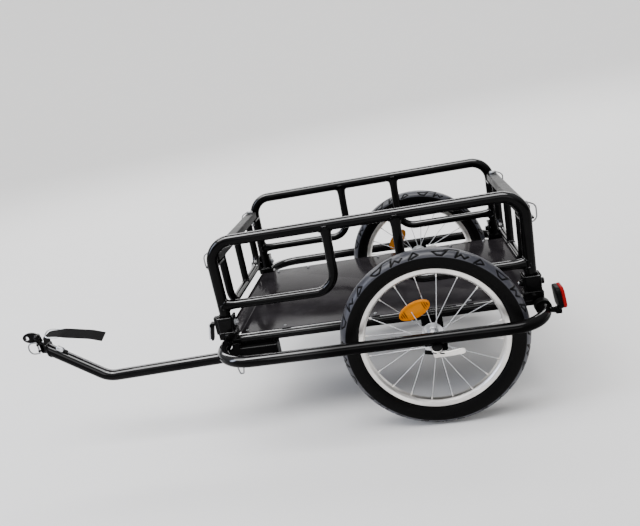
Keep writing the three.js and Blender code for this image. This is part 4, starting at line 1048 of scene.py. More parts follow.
def build_lock_pin(end, way, post_x, name, side):
    """Turned pin with a wide head, and the wire loop that snaps round the bar."""
    x, y = post_x + way * GATE.out, side * PIN.y
    tip = GATE.z - GATE.bar_z / 2 - LUG.gap - LUG.thick - PIN.below
    rise = GATE.z + GATE.bar_z / 2 + PIN.gap - tip
    head, top, wire = PIN.head, rise + PIN.head_len, PIN_LOOP.wire
    corners = [(0.8, 0), (PIN.radius, 1.6), (PIN.radius, rise), (head, rise), (head, top), (1.0, top)]
    pin = turned(bent(corners, [0, 0.8, 0, 1.0, 1.6, 0], step=20), spot(x, y, tip), Z, 32)
    build_steel(f"pin_{end}_{name}", f"lock_pin_{end}_{name}", pin)
    hinge, low = tip + rise + PIN.head_len / 2, tip - PIN_LOOP.under
    near, out = x + way * (head + 2 * wire), x + way * PIN_LOOP.reach
    bend, sag = PIN_LOOP.reach / 2, PIN_LOOP.sag
    corners = [(near, y, hinge), (out, y, hinge - sag), (out, y, low - sag), (x - way * PIN.radius, y, low)]
    arc = tube(bent(corners, [0, bend, bend, 0], step=8), wire, Y, sides=14)
    left, right = y - head - wire - PIN_LOOP.slip, y + head + wire + PIN_LOOP.slip
    corners = [(near, left, hinge), (near, right, hinge), (x, right, hinge), (x, left, hinge)]
    yoke = loop_wire(corners, 2.6, wire, Z)
    build_piece(f"snap_wire_{end}_{name}", dressed("wire", arc, yoke),
                f"pin_loop_body_{end}_{name}", [f"pin_loop_{end}_{name}"])


# Wheels.

# One repeat of the tread on one half of the band, a bolt and a fin, as lines joined end to end:
# share of the repeat along the band, and share of the way from its edge to the crown.
TREAD_BOLT_SHARES = (
    (0.40, 0.55), (0.465, 0.22), (0.545, 0.18), (0.64, 0.80), (0.79, 0.86), (0.745, 0.14),
    (0.83, 0.50), (0.885, 0.20), (0.94, 0.46),
)
TREAD_EDGE_SHARES = ((0.40, 0.55), (0.56, 0.60), (0.64, 0.80))
TREAD_FIN_SHARES = ((0.04, 0.12), (0.125, 0.68), (0.19, 0.36), (0.08, 0.14))
TREAD_SHARES = (TREAD_BOLT_SHARES, TREAD_EDGE_SHARES, TREAD_FIN_SHARES)


def groove_depth(along, over, width):
    """1 on the tread's lines and 0 off them: the nearest distance to any segment, smoothly stepped."""
    deep = np.zeros(np.broadcast(along, over).shape)
    runs = [(*start, *end) for line in TREAD_SHARES for start, end in zip(line, line[1:])]
    for x0, y0, x1, y1 in runs:
        for shift in (-1, 0, 1):
            ax, bx = (x0 + shift) * width[0], (x1 + shift) * width[0]
            ay, by = y0 * width[1], y1 * width[1]
            span = (bx - ax) ** 2 + (by - ay) ** 2
            share = np.clip(((along - ax) * (bx - ax) + (over - ay) * (by - ay)) / span, 0, 1)
            gap = np.hypot(along - ax - share * (bx - ax), over - ay - share * (by - ay))
            deep = np.maximum(deep, np.clip((TREAD.line - gap) / TREAD.soft, 0, 1))
    return deep


def tyre_section(half, tall):
    """Angle, height and width of each place across the tyre.

    Height = bead + H·(middle + k·cos t), with one k above the widest place and another below it.
    Width = W·|sin t|^square, with the sign of t.
    """
    foot, flank, crown = TYRE.foot, TREAD.edge + 2, TREAD.edge - 1
    t = np.radians(np.concatenate([
        np.linspace(-foot, -flank, 14), np.linspace(-crown, crown, 64), np.linspace(flank, foot, 14),
    ]))
    reach = np.where(np.cos(t) > 0, TYRE.above, TYRE.below)
    height = TYRE.bead + tall * (TYRE.middle + reach * np.cos(t))
    return t, height, half * np.sign(t) * np.abs(np.sin(t)) ** TYRE.square


def build_tyre(sizes, name, side):
    """Tyre as a turned section with grooves pressed into its tread band."""
    radius, half = mm(sizes.tyre_radius), mm(sizes.tyre_width) / 2
    t, height, width = tyre_section(half, radius - TYRE.bead)
    edge = np.radians(TREAD.edge)
    a = np.linspace(0, 2 * HALF_TURN, TYRE.rows, endpoint=False)[:, None]
    pitch = 2 * HALF_TURN * radius / TREAD.pitches
    along = (a * radius + np.where(t > 0, 0.0, pitch / 2)) % pitch
    over = (edge - np.abs(t)) * half
    band = np.clip((edge - np.abs(t)) / TREAD.fade, 0, 1) * np.ones_like(a)
    groove = groove_depth(along, over, (pitch, edge * half)) * band
    ridge = TREAD.ridge * np.exp(-((np.abs(t) - np.radians(TREAD.ridge_at)) / TREAD.ridge_wide) ** 2)
    out = height - groove * mm(sizes.tread_depth) + ridge
    points = np.stack([out * np.cos(a), side * WHEEL_Y + width + 0 * a, out * np.sin(a)], axis=-1)
    build_piece(f"tyre_tread_{name}", dressed("rubber", lattice(points, wrap_rows=True)),
                f"wheel_{name}", [f"tyre_{name}"],
                sharp=60.0, fields={"tread": band, "groove": groove})


def rim_profile():
    """Box section of (radius, height) with a well on its outside, and each corner's fillet."""
    half, outer, inner = RIM.half, RIM.outer, RIM.inner
    box = [
        (outer, half, 0.7), (outer - 9, half - 0.6, 2), (inner + 1.5, half - 4.2, 2),
        (inner, half - 6.5, 2),
    ]
    well = [(outer, 1.8 - half, 0.7), (outer - 4, 3.2 - half, 1), (outer - 6, 5 - half, 1)]
    return rounded(with_mirror(box) + with_mirror(well))


def build_rim(sizes, name, side):
    """Box rim and its nipples."""
    parts = [turned(rim_profile(), spot(0, side * WHEEL_Y, 0), Y, 180, ring=True)]
    for root, head in spoke_ends(sizes, side):
        way = unit(head - root)
        parts.append(rod(head - way * SPOKE.nipple_len, head + way, SPOKE.nipple, 0.6, 12))
    build_piece(f"box_rim_{name}", dressed("alloy", *parts), f"wheel_{name}", [f"rim_{name}"])


def spoke_ends(sizes, side):
    """Hub end and rim end of each spoke: angle (k + ½)·step at the rim, half a step aside at the hub."""
    at = lambda angle, out, off: spot(out * math.cos(angle), side * WHEEL_Y + off, out * math.sin(angle))
    step = 2 * HALF_TURN / sizes.spokes
    ends = []
    for k in range(sizes.spokes):
        flange = 1 if k % 2 else -1
        lean = (-1 if (k // 2) % 2 else 1) * 0.5 * step
        angle = (k + 0.5) * step
        root = at(angle + lean, SPOKE.root, flange * HUB.flange_y)
        ends.append((root, at(angle, RIM.inner, flange * SPOKE.rim_off)))
    return ends


def hub_profile():
    """Section of (radius, height) from the lock nut in over the flange, and each corner's fillet."""
    half, flange, rim, shell = HUB.half, HUB.flange_y, HUB.flange, HUB.shell
    return rounded(with_mirror([
        (HUB.bore, half, 0), (9.5, half, 0.8), (9.5, half - 6, 0.8), (8, half - 7, 1),
        (shell - 1, half - 14, 2), (shell, flange + 3.2, 3), (rim - 2, flange + 1.6, 3),
        (rim, flange + 1.2, 1), (rim, flange - 1.2, 1), (rim - 2, flange - 1.6, 3),
        (shell + 1, flange - 3.4, 3), (shell - 1.5, flange - 8, 4),
    ]))


def build_hub(sizes, name, side):
    """Turned hub shell with fillets, cones and lock nuts, and the spokes with their elbows."""
    middle = side * WHEEL_Y
    parts = [turned(hub_profile(), spot(0, middle, 0), Y, 72, ring=True)]
    for root, head in spoke_ends(sizes, side):
        out = Y if root[1] > middle else -Y
        elbow = [root - out * SPOKE.inside, root + out * SPOKE.elbow, head]
        path = bent(elbow, [0, 1.8, 0], step=20)
        parts.append(tube(path, SPOKE.radius, unit(np.cross(Y, head - root)), sides=10))
        parts.append(rod(root + out * 1.2, root + out * 2.6, SPOKE.head, 0.5, 10))
    build_piece(f"hub_and_spokes_{name}", dressed("steel", *parts), f"wheel_{name}",
                [f"laced_hub_{name}"])


def build_spoke_reflector(name, side):
    """Oval moulding with a raised rim, a prism field and two duller end patches."""
    angle = math.radians(AMBER_DEGREES[name])
    radial = spot(math.cos(angle), 0, math.sin(angle))
    along = spot(-math.sin(angle), 0, math.cos(angle))
    out = side * Y
    lengthwise = side > 0
    u, v = (along, radial) if lengthwise else (radial, along)
    sized = lambda long, tall: oval(long, tall) if lengthwise else oval(tall, long)
    long, tall, thick = AMBER.long, AMBER.tall, AMBER.thick
    back = radial * AMBER.radius + out * (WHEEL_Y + AMBER.off - thick / 2)
    body = prism(sized(long, tall), thick - AMBER.field_low, back, u, v, 1.2)
    hole = sized(long - 2 * AMBER.rim_wide, tall - 2 * AMBER.rim_wide)
    rim = pierced(sized(long, tall), hole, AMBER.rim, back + out * (thick - AMBER.rim), u, v, 0.6)
    ribs = []
    for end in (-1, 1):
        for reach, share in AMBER_RIB_SHARES:
            at = back + along * end * long * reach + out * (thick - AMBER.rib_low)
            ribs.append(prism(sized(AMBER.rib, tall * share), AMBER.rib_tall, at, u, v, 0.4))
    parts = dressed("amber", body, rim) + dressed("amber_dark", *ribs)
    build_piece(f"amber_oval_{name}", parts, f"wheel_{name}", [f"spoke_reflector_{name}"])


# Axles, dropouts and wheel levers.


def dropout_outline(top):
    """Plate with round lower corners and an open slot with a round end."""
    front, rear, slot = DROPOUT.front, DROPOUT.rear, DROPOUT.slot / 2
    low, front_low, slot_top = DROPOUT.low, DROPOUT.front_low, slot + 4.0
    return rounded([
        (front, top, 0), (-rear, top, 0), (-rear, low, 5), (-slot, low, 1.5),
        (-slot, slot_top, slot - 0.02), (slot, slot_top, 1), (slot, front_low, 1), (front, front_low, 1.5),
    ], 12)


def build_axle_set(name, side):
    """Two dropout plates, the axle with its nuts and washers, and the cam lever."""
    thick, off_wheel = DROPOUT.thick, DROPOUT.off_wheel
    near, far = side * (WHEEL_Y + off_wheel), side * (WHEEL_Y - off_wheel - thick)
    for key, y, top in (("outer", near, LOOP.z), ("inner", far, RAIL.z + 5)):
        start = spot(0, y + thick if side > 0 else y, 0)
        plate = prism(dropout_outline(top), thick, start, X, Z, 0.7)
        build_painted(f"dropout_plate_{key}_{name}", f"dropout_{key}_{name}", plate)
    at = lambda off: spot(0, side * (WHEEL_Y + off), 0)
    face, nut = off_wheel + thick + AXLE.gap, AXLE.nut
    parts = [
        rod(at(-face - AXLE.inner_end - 1.0), at(face + AXLE.outer_end), AXLE.radius),
        rod(at(-face), at(-face - AXLE.washer_len), AXLE.washer, 0.4),
        hex_nut(at(-face - AXLE.washer_len + 0.1), at(-face - AXLE.inner_end), nut),
        rod(at(face), at(face + AXLE.outer_end), nut, 1.0),
    ]
    build_steel(f"axle_rod_{name}", f"axle_{name}", *parts)
    middle = WHEEL_Y + face + AXLE.outer_end + WHEEL_LEVER.slip + WHEEL_LEVER.cap_len / 2
    build_wheel_lever(name, side, middle)
    build_lever_housing(name, side, middle)


def build_wheel_lever(name, side, middle):
    """Lever with a curved blade and a round cam that turns on an upright line."""
    at = lambda x, off, z: spot(x, side * (middle + off), z)
    z, tall, cam_radius = -WHEEL_LEVER.drop, WHEEL_LEVER.height / 2, WHEEL_LEVER.cap_len / 2
    arm, bow = WHEEL_LEVER.arm, WHEEL_LEVER.bow
    corners = [at(2, 3.2, z), at(-8, 6.6, z), at(-arm / 2, bow + 1, z), at(-arm, 0, z)]
    path, stations = dense(bent(corners, [0, 12, arm * 0.8, 0], step=5), 2.0)
    share = stations / stations[-1]
    scale = np.stack([1 - 0.3 * share, 0.9 + 0.25 * share], axis=1)
    scale[-3:] *= LEVER_TIP
    section = soft_rectangle(WHEEL_LEVER.thick, WHEEL_LEVER.height * 0.9, 2.2)
    blade = swept(path, section, Z, scale=scale)
    split_z = z + tall * 0.4
    cam = rod(at(0, 0, z - tall), at(0, 0, split_z), cam_radius, 1.2, 36)
    cam_top = rod(at(0, 0, split_z - 0.5), at(0, 0, z + tall * 0.9), cam_radius - 0.4, 1.0, 36)
    shoe = rod(at(-7, bow + 3.4, z + 4), at(-16, bow + 3.6, z + 2.5), 1.5, 0.6, 12)
    parts = dressed("alloy", blade, cam) + dressed("plastic", cam_top, shoe)
    build_piece(f"wheel_cam_lever_{name}", parts, f"wheel_lever_body_{name}",
                [f"wheel_lever_{name}"])


def build_lever_housing(name, side, middle):
    """Leaning cap with a bright hem, on a stem with a short tail. It stays on the axle."""
    at = lambda x, off, z: spot(x, side * (middle + off), z)
    lean, z, disc_z = unit(spot(0, side * 0.35, 1.0)), -WHEEL_LEVER.drop, WHEEL_LEVER.disc_z
    top = at(-3.0, 1.0, disc_z)
    disc = rod(top, top + lean * 3.0, WHEEL_LEVER.disc, 1.0, 36)
    hem_at = top + X * 1.4
    hem = rod(hem_at - lean * 1.8, hem_at + lean * 0.6, WHEEL_LEVER.disc + 1.2, 0.6, 36)
    nut = -WHEEL_LEVER.cap_len / 2 - WHEEL_LEVER.slip - AXLE.outer_end / 2
    stem = rod(at(-1, nut, AXLE.nut - 3), at(-1, nut + 2, disc_z + 3.5), 2.6, 0.6, 20)
    tail = rod(at(5, nut - 1, z - 3.5), at(23, nut - 1, z + 0.5), 4.4, 1.2)
    parts = dressed("plastic", disc, stem, tail) + dressed("alloy", hem)
    build_piece(f"lever_housing_{name}", parts, "chassis")


# Tow bar and receiver.


def tow_points():
    return [spot(x, TOW.y, z) for x, z in (TOW.rear, TOW.elbow, TOW.tip)]


def bar_height(x):
    """Height of the bar's middle line at a place along its rear run."""
    rear, elbow, _ = tow_points()
    share = (x - rear[0]) / (elbow[0] - rear[0])
    return rear[2] + share * (elbow[2] - rear[2])


def build_tow_bar(sizes):
    """One tube with one bend, slightly flattened and puckered inside the bend, its end cut upright."""
    radius = mm(sizes.tow_tube)
    rear, elbow_at, tip = tow_points()
    cut_at = elbow_at + (tip - elbow_at) * (TOW.cut - elbow_at[0]) / (tip[0] - elbow_at[0])
    path, stations = dense(bent([rear, elbow_at, cut_at], TOW.bend, step=4), 4.0)
    kept = (stations < stations[-1] - radius) | (stations == stations[-1])
    path, stations = path[kept], stations[kept]
    elbow = np.linalg.norm(elbow_at - rear) - TOW_BEND.back
    near = np.exp(-((stations - elbow) / TOW_BEND.reach) ** 2)
    pucker = TOW_BEND.wave * near * np.sin(stations * TOW_BEND.wave_rate)
    scale = np.stack([1 - TOW_BEND.flat * near + pucker, 1 + TOW_BEND.wide * near], axis=1)
    places, quads, caps = swept(path, ring_section(radius, 36), Y, scale=scale)
    bar = (shear_end(places, len(caps[1])), quads, caps)
    build_painted("bent_tow_tube", "tow_bar", bar)


def shear_end(places, sides):
    """Slide the last ring's points along the bar onto the upright plane of the cut."""
    _, elbow, tip = tow_points()
    rise = unit(tip - elbow)
    last = places[-sides:]
    share = (TOW.cut - last[:, :1]) / rise[0]
    return np.vstack([places[:-sides], last + share * rise])


# Gusset under the rail's front end: x, z and the round of each corner.
GUSSET = (
    (436, -2, 2), (468, -2, 2), (468, 11, 1), (461, 11.8, 1),
    (456, 15, 1), (452.6, 20, 1), (452.6, 26, 2), (436, 26, 2),
)


def build_receiver(sizes):
    """Folded box with a plug, a gusset and a saddle under the rail."""
    inner = mm(sizes.tow_tube) + RECEIVER.gap
    outer = inner + RECEIVER.wall
    start, long = RECEIVER.rear, RECEIVER.front - RECEIVER.rear
    bottom = bar_height(RECEIVER.front) - outer
    tall, middle = RECEIVER.top - bottom, (RECEIVER.top + bottom) / 2
    outside = soft_rectangle(2 * outer, tall, 3.5)
    inside = soft_rectangle(2 * inner, tall - 2 * RECEIVER.wall, 1.2)
    box = pierced(outside, inside, long, spot(start, TOW.y, middle), Y, Z, 0.6)
    plug = prism(inside, RECEIVER.plug, spot(start + RECEIVER.plug_in, TOW.y, middle), Y, Z, 0.4)
    saddle_low, saddle_in = RECEIVER.top - RECEIVER.saddle_sunk, RECEIVER.saddle_in
    saddle = soft_rectangle(RECEIVER.saddle, RAIL.z - saddle_low, 1.5)
    saddle_at = spot(start + saddle_in, RAIL.y, (RAIL.z + saddle_low) / 2)
    block = prism(saddle, long - 2 * saddle_in, saddle_at, Y, Z, 0.8)
    gusset_at = spot(0, TOW.y + outer - 0.1, 0)
    gusset = prism(rounded(GUSSET, 15), RECEIVER.wall, gusset_at, X, Z, 0.5)
    parts = dressed("shaded", box, block, gusset) + dressed("plastic", plug)
    build_piece("receiver_box", parts, "chassis", ["tow_receiver"])
    build_tow_pin(TOW.y - outer - TOW_PIN.past, TOW.y + outer + 0.4)


def build_tow_pin(inner_end, face):
    """Pull pin through the receiver, and the wire ring that hangs in its head."""
    x, z = TOW_PIN.x, bar_height(TOW_PIN.x)
    shaft = rod(spot(x, inner_end, z), spot(x, face + 5, z), TOW_PIN.radius)
    y = face + TOW_PIN.head_len
    head = rod(spot(x, face, z), spot(x, face + 2 * TOW_PIN.head_len, z), TOW_PIN.head, 1.5, 36)
    build_piece("receiver_pin", dressed("steel", shaft, head), "tow_pin_body", ["tow_pin"])
    half, foot, low = TOW_RING.width / 2, TOW_RING.foot, z - TOW_RING.drop
    corners = [(x - half, y, z), (x + half, y, z), (x + foot, y, low), (x - foot, y, low)]
    ring = loop_wire(corners, [3, 3, foot * 0.7, foot * 0.7], TOW_RING.wire, Y, 14)
    build_piece("receiver_pin_ring", dressed("wire", ring), "tow_ring_body", ["tow_ring"])


# Hitch.


def at_hitch(x, y, z):
    return spot(x, TOW.y + y, z)


def along_tip(along, y, high):
    """Place counted along the bar's end, sideways, and up from it."""
    _, elbow, tip = tow_points()
    rise = unit(tip - elbow)
    return tip + rise * along + Y * y + np.cross(rise, Y) * high


def build_end_plate(sizes):
    """Plate with a lug, welded on the bar's cut end."""
    x, low, top = END_PLATE.x, END_PLATE.low, END_PLATE.top
    w, h = END_PLATE.half, (top - low) / 2
    outline = rounded([(w, h, 3), (-w, h, 3), (-w, -h, 13), (w, -h, 13)], 10)
    plate = prism(outline, END_PLATE.thick, at_hitch(x, 0, (low + top) / 2), Y, Z, 0.6)
    outline = tongue(x + 1, YAW_PIN.x + HITCH_LUG.half, HITCH_LUG.half, 0)
    lug = prism(outline, top - HITCH_LUG.low, at_hitch(0, 0, HITCH_LUG.low), X, Y, 0.7)
    _, elbow, tip = tow_points()
    slope = (tip[2] - elbow[2]) / (tip[0] - elbow[0])
    middle = at_hitch(TOW.cut, 0, elbow[2] + slope * (TOW.cut - elbow[0]))
    a = np.linspace(0, 2 * HALF_TURN, 72, endpoint=False)[:, None]
    rim = middle + mm(sizes.tow_tube) * (Y * np.cos(a) + Z * np.sin(a) * math.hypot(1, slope))
    bead = tube(rim, mm(sizes.weld_bead), X, closed=True, sides=12)
    build_painted("hitch_end_plate", "hitch_clevis", plate, lug, bead)


def build_latch(sizes):
    """Sleeve with a collar and a tail, which leans on the bar."""
    lean, out = math.radians(LATCH.lean), mm(sizes.tow_tube) + 0.3 + LATCH.radius
    at = lambda along: along_tip(along, out * math.sin(lean), out * math.cos(lean))
    back, front = LATCH.along - LATCH.long / 2, LATCH.along + LATCH.long / 2
    sleeve = rod(at(back), at(front), LATCH.radius, 2.6, 36)
    collar = rod(at(back + 4), at(back + 6.5), LATCH.radius + 0.5, 0.5, 36)
    tail = rod(at(back - LATCH.tail), at(back + 1), LATCH.tail_radius, 1.2)
    parts = dressed("steel", sleeve, collar) + dressed("plastic", tail)
    build_piece("latch_sleeve", parts, "chassis", ["hitch_latch"])


def build_yaw_pin():
    """Upright pin with a round head above and below the fork."""
    low, top = FORK.low - FORK.flange - YAW_PIN.gap, FORK.top + FORK.flange + YAW_PIN.gap
    at = lambda z: at_hitch(YAW_PIN.x, 0, z)
    parts = [
        rod(at(low - 1), at(top + 1), YAW_PIN.radius),
        rod(at(top), at(top + YAW_PIN.head_len), YAW_PIN.head, 1.2),
        rod(at(low - YAW_PIN.head_len), at(low), YAW_PIN.head, 1.2),
    ]
    build_steel("swivel_pin", "yaw_pin", *parts)


def eye_place():
    return at_hitch(EYE_PLATE.x, 0, EYE_PLATE.z)


def build_fork():
    """Folded fork with round ends over the lug, two ears for the eye plate and two ring eyes."""
    thick, half = FORK.flange, FORK.half
    low, top, front = FORK.low - thick / 2, FORK.top + thick / 2, FORK.web_x + FORK.web - thick / 2
    channel = bent([(low, YAW_PIN.x), (low, front), (top, front), (top, YAW_PIN.x)], 2.6, step=15)
    parts = [prism(folded(channel, thick), 2 * half, at_hitch(0, -half, 0), Z, X, 0.7)]
    for z in (FORK.low - thick, FORK.top):
        parts.append(prism(ring_section(half, 40), thick, at_hitch(YAW_PIN.x, 0, z), X, Y, 0.7))
    foot, eye = at_hitch(FORK.ear_x, 0, top), eye_place()
    run = unit(eye - foot)
    ear = tongue(0, np.linalg.norm(eye - foot) + FORK.past, FORK.ear, 0.5)
    for y in (-half, FORK.slot_half):
        parts.append(prism(ear, half - FORK.slot_half, foot + Y * y, run, np.cross(Y, run), 0.7))
    for out in (-Y, Y):
        dome = bolt_dome(PIVOT_HEAD.radius, PIVOT_HEAD.height)
        parts.append(turned(dome, eye + out * (half - PIVOT_HEAD.sunk), out, 24))
    for z in (HITCH_RING.z - 10, HITCH_RING.z + 6):
        parts += ring_eye(z)
    build_piece("hitch_fork", dressed("paint", *parts), "coupler_body", ["hitch_coupler"])


def ring_eye(z):
    """Eye that the D ring stands in, and the lug that carries it beside the fork's web."""
    x, off, tall = HITCH_RING.x, HITCH_RING.eye_off, 4.0
    outer, hole = ring_section(HITCH_RING.eye, 32), ring_section(HITCH_RING.wire + 0.4, 32)
    lug = soft_rectangle(x - FORK.web_x - 1.8, off - 1.0, 1.0)
    lug_at = at_hitch((x - 1.8 + FORK.web_x) / 2, off / 2 + 1.2, z)
    return [
        pierced(outer, hole, tall, at_hitch(x, off, z), X, Y, 0.5),
        prism(lug, tall, lug_at, X, Y, 0.5),
    ]


def build_eye_plate():
    """Oval plate with the hole for the bicycle's axle."""
    middle = eye_place() + X * EYE_PLATE.ahead + Y * EYE_PLATE.thick / 2
    hole = ring_section(EYE_PLATE.hole, 72) + (EYE_PLATE.hole_ahead - EYE_PLATE.ahead, 0)
    outer = align(oval(EYE_PLATE.long, EYE_PLATE.tall, 72), hole)
    slab = pierced(outer, hole, EYE_PLATE.thick, middle, X, Z, 0.9)
    build_piece("axle_plate", dressed("paint", slab), "plate_body", ["hitch_plate"])


def build_hitch_ring():
    """D of wire whose straight side stands in the fork's two eyes."""
    x, far, half = HITCH_RING.x, HITCH_RING.x + HITCH_RING.reach, HITCH_RING.height / 2
    low, high, big = HITCH_RING.z - half, HITCH_RING.z + half, half - HITCH_RING.wire
    places = ((x, low), (x, high), (far, high), (far, low))
    corners = [at_hitch(at, HITCH_RING.eye_off, z) for at, z in places]
    ring = loop_wire(corners, [2.8, 2.8, big, big], HITCH_RING.wire, Y, 14)
    build_piece("hitch_wire_ring", dressed("wire", ring), "hitch_ring_body", ["hitch_ring"])


def strap_place(reach, sag):
    return at_hitch(STRAP.x - reach * STRAP.reach, 0, STRAP.z - sag * STRAP.sag)


def build_strap(sizes):
    """Webbing with a crowned section that stands up, folds back over the bar and turns its face."""
    crest, root = strap_place(0, 0), at_hitch(STRAP.x, 0, STRAP.low)
    corners = [root, crest] + [strap_place(reach, sag) for reach, sag in STRAP_SHARES]
    bends = [0, STRAP.fold, STRAP.bend, 0, STRAP.bend, 0]
    path, stations = dense(bent(corners, bends, step=6), 1.5)
    reach, shares = (STRAP.x - path[:, 0]) / STRAP.reach, np.array(STRAP_TURN_SHARES)
    turn = math.radians(STRAP.turn) * np.interp(reach, shares[:, 0], shares[:, 1])
    width = mm(sizes.strap_width)
    over = np.linspace(-0.5, 0.5, 33)
    crown = STRAP.thick * (0.5 - 0.25 * (2 * over) ** 8)
    face = np.stack([crown, over * width], axis=1)
    section = np.vstack([face, (face * (-1, 1))[::-1]])
    surface = swept(path, section, Y, turn=turn[:, None])
    fields = {
        "run": np.repeat(stations, len(section)),
        "over": np.tile(np.append(over, over[::-1]), len(path)),
    }
    strap = build_piece("webbing_strap", dressed("webbing", surface), "chassis", ["strap"],
                        fields=fields)
    build_strap_ring(crest, unit(corners[2] - crest))


def build_strap_ring(crest, run):
    """Oblong wire ring through which the strap passes, rolled a little about the strap's way back."""
    up, roll = np.cross(Y, run), math.radians(STRAP_RING.roll)
    across_ring = Y * math.cos(roll) - up * math.sin(roll)
    face = up * math.cos(roll) + Y * math.sin(roll)
    lift = STRAP.thick / 2 + STRAP_RING.wire + STRAP_RING.gap
    near, far, half = STRAP_RING.behind, STRAP_RING.behind + STRAP_RING.length, STRAP_RING.width / 2
    places = ((near, -half, lift), (near, half, lift), (far, half, -lift), (far, -half, -lift))
    corners = [crest + run * along + across_ring * y + face * high for along, y, high in places]
    ring = loop_wire(corners, STRAP_RING.bend, STRAP_RING.wire, face, 14)
    build_steel("oblong_ring", "strap_ring", ring)


# Rear reflector.


def build_rear_reflector(sizes):
    """Ring clamp with its arm and post, the case and the prismatic lens."""
    loop, bore = mm(sizes.loop_tube), mm(sizes.loop_tube) + 0.3
    centre = spot(LOOP.rear, CLAMP.y, LOOP.z)
    profile = soft_rectangle(CLAMP.wall, CLAMP.width, 1.2) + (bore + CLAMP.wall / 2, 0)
    clamp = turned(profile, centre, Y, 72, ring=True)
    end = centre - X * ARM.reach - Z * ARM.drop
    arm_start = centre - Z * (bore + CLAMP.wall) / 2 - X * loop * 0.8
    arm = rod(arm_start, end, ARM.radius, 1.5)
    low = end - Z * ARM.radius
    post = soft_rectangle(ARM.width, ARM.width, 3.0)
    foot = prism(post, LENS.foot - LENS.gap - low[2], low, X, Y, 1.0)
    build_piece("reflector_bracket", dressed("plastic", clamp, arm, foot), "chassis",
                ["reflector_clamp"])
    outline = soft_rectangle(LENS.wide, LENS.tall, LENS.round, step=8)
    face, rise = spot(end[0], CLAMP.y, LENS.z), unit(Z + X * ARM.lean)
    ahead = np.cross(rise, Y)
    case = prism(outline, LENS.case, face - ahead * LENS.case / 2, rise, Y, 1.6)
    build_piece("reflector_shell", dressed("plastic", case), "chassis",
                ["reflector_case"])
    lens = prism(outline, LENS.thick, face + ahead * (LENS.case / 2 + LENS.gap), rise, Y, 2.2)
    build_piece("reflector_red_lens", dressed("red", lens), "chassis", ["reflector_lens"])


# Stage.


def build_stage(sizes):
    """Pale floor that rises slowly far behind, soft lights and the photograph's camera."""
    low = AXLE_AT[2] - sizes.tyre_radius - FLOOR.gap
    corners = [(FLOOR.near, 0), (FLOOR.bend_at, 0), (FLOOR.far, FLOOR.rise)]
    profile = bent(corners, [0, FLOOR.bend, 0], step=2)
    run = np.linspace(-FLOOR.half, FLOOR.half, 3)
    rows, cols = len(profile), len(run)
    back, height = (np.repeat(profile[:, k:k + 1], cols, axis=1) for k in (0, 1))
    points = np.stack([np.tile(run, (rows, 1)), -back, height + low], axis=-1)
    i, j = np.meshgrid(np.arange(rows - 1), np.arange(cols - 1), indexing="ij")
    first = i * cols + j
    quads = np.stack([first + cols, first + cols + 1, first + 1, first], axis=-1).reshape(-1, 4)
    mesh = bpy.data.meshes.new("studio_floor")
    mesh.from_pydata(points.reshape(-1, 3).tolist(), [], quads.tolist())
    mesh.polygons.foreach_set("use_smooth", [True] * len(mesh.polygons))
    mesh.materials.append(finish("floor"))
    add_object("studio_floor", mesh)
    add_lights()
    add_world()
    add_camera()


def aim(lamp, place, target):
    """Put a lamp at a place with its beam, its own −Z, towards a target."""
    back = unit(np.subtract(place, target))
    right = unit(np.cross(Y if abs(back[2]) > 0.95 else Z, back))
    turn = np.stack([right, np.cross(back, right), back], axis=1)
    lamp.matrix_world = Matrix.Translation(place) @ Matrix(turn.tolist()).to_4x4()


def add_area(name, place, target, size, power, colour=(1.0, 1.0, 1.0)):
    light = bpy.data.lights.new(name, "AREA")
    light.shape = "RECTANGLE"
    light.size, light.size_y = size
    light.energy, light.color = power, colour
    aim(add_object(name, light), place, target)


def add_lights():
    """A row of wide soft suns overhead, which run a highlight along the tubes, and soft boxes around."""
    for number, sun_x in enumerate((-0.22, 0.20, 0.62)):
        light = bpy.data.lights.new(f"overhead_{number}", "SUN")
        light.energy, light.angle = 1.45, math.radians(32)
        aim(add_object(light.name, light), (sun_x, 0.22, 1.0), (0.0, 0.0, 0.0))
    add_area("back_box", (0.6, -4.2, 3.2), (0.2, 0.0, 0.1), (8.0, 0.8), 200.0)
    add_area("left_box", (4.2, 1.6, 1.8), (0.5, 0.2, 0.0), (0.8, 2.4), 90.0, (0.72, 0.80, 1.0))
    add_area("front_box", (-0.6, 5.2, 1.9), (0.0, 0.3, 0.0), (5.0, 2.2), 75.0)


def add_world():
    world = bpy.data.worlds.new("soft_room")
    bpy.context.scene.world = world
    world.use_nodes = True
    back = world.node_tree.nodes["Background"]
    back.inputs["Color"].default_value = (0.95, 0.97, 1.0, 1.0)
    back.inputs["Strength"].default_value = 0.35


def add_camera():
    """Camera from the measured place and directions."""
    data = bpy.data.cameras.new("photo_camera")
    data.lens, data.sensor_width = CAMERA_LENS, 36.0
    camera = add_object("photo_camera", data)
    turn = np.array([CAMERA_RIGHT, np.negative(CAMERA_DOWN), np.negative(CAMERA_AHEAD)]).T
    camera.matrix_world = Matrix.Translation(CAMERA_AT) @ Matrix(turn.tolist()).to_4x4()
    bpy.context.scene.camera = camera


# Operators.


class TRAILER_OT_frame_tubes(bpy.types.Operator):
    """Outer loop, rails and cross tubes"""

    bl_idname = "trailer.frame_tubes"
    bl_label = "Frame tubes"

    def execute(self, context):
        build_frame_tubes(context.scene.trailer_sizes)
        return {"FINISHED"}


class TRAILER_OT_deck(bpy.types.Operator):
    """Deck sheet with its lips and bolts"""

    bl_idname = "trailer.deck"
    bl_label = "Deck"

    def execute(self, context):
        build_deck()
        return {"FINISHED"}


class TRAILER_OT_side_panels(bpy.types.Operator):
    """Hoops and L tubes of both side panels"""

    bl_idname = "trailer.side_panels"
    bl_label = "Side panels"

    def execute(self, context):
        for name, side in SIDES:
            build_side_panel(context.scene.trailer_sizes, name, side)
        return {"FINISHED"}


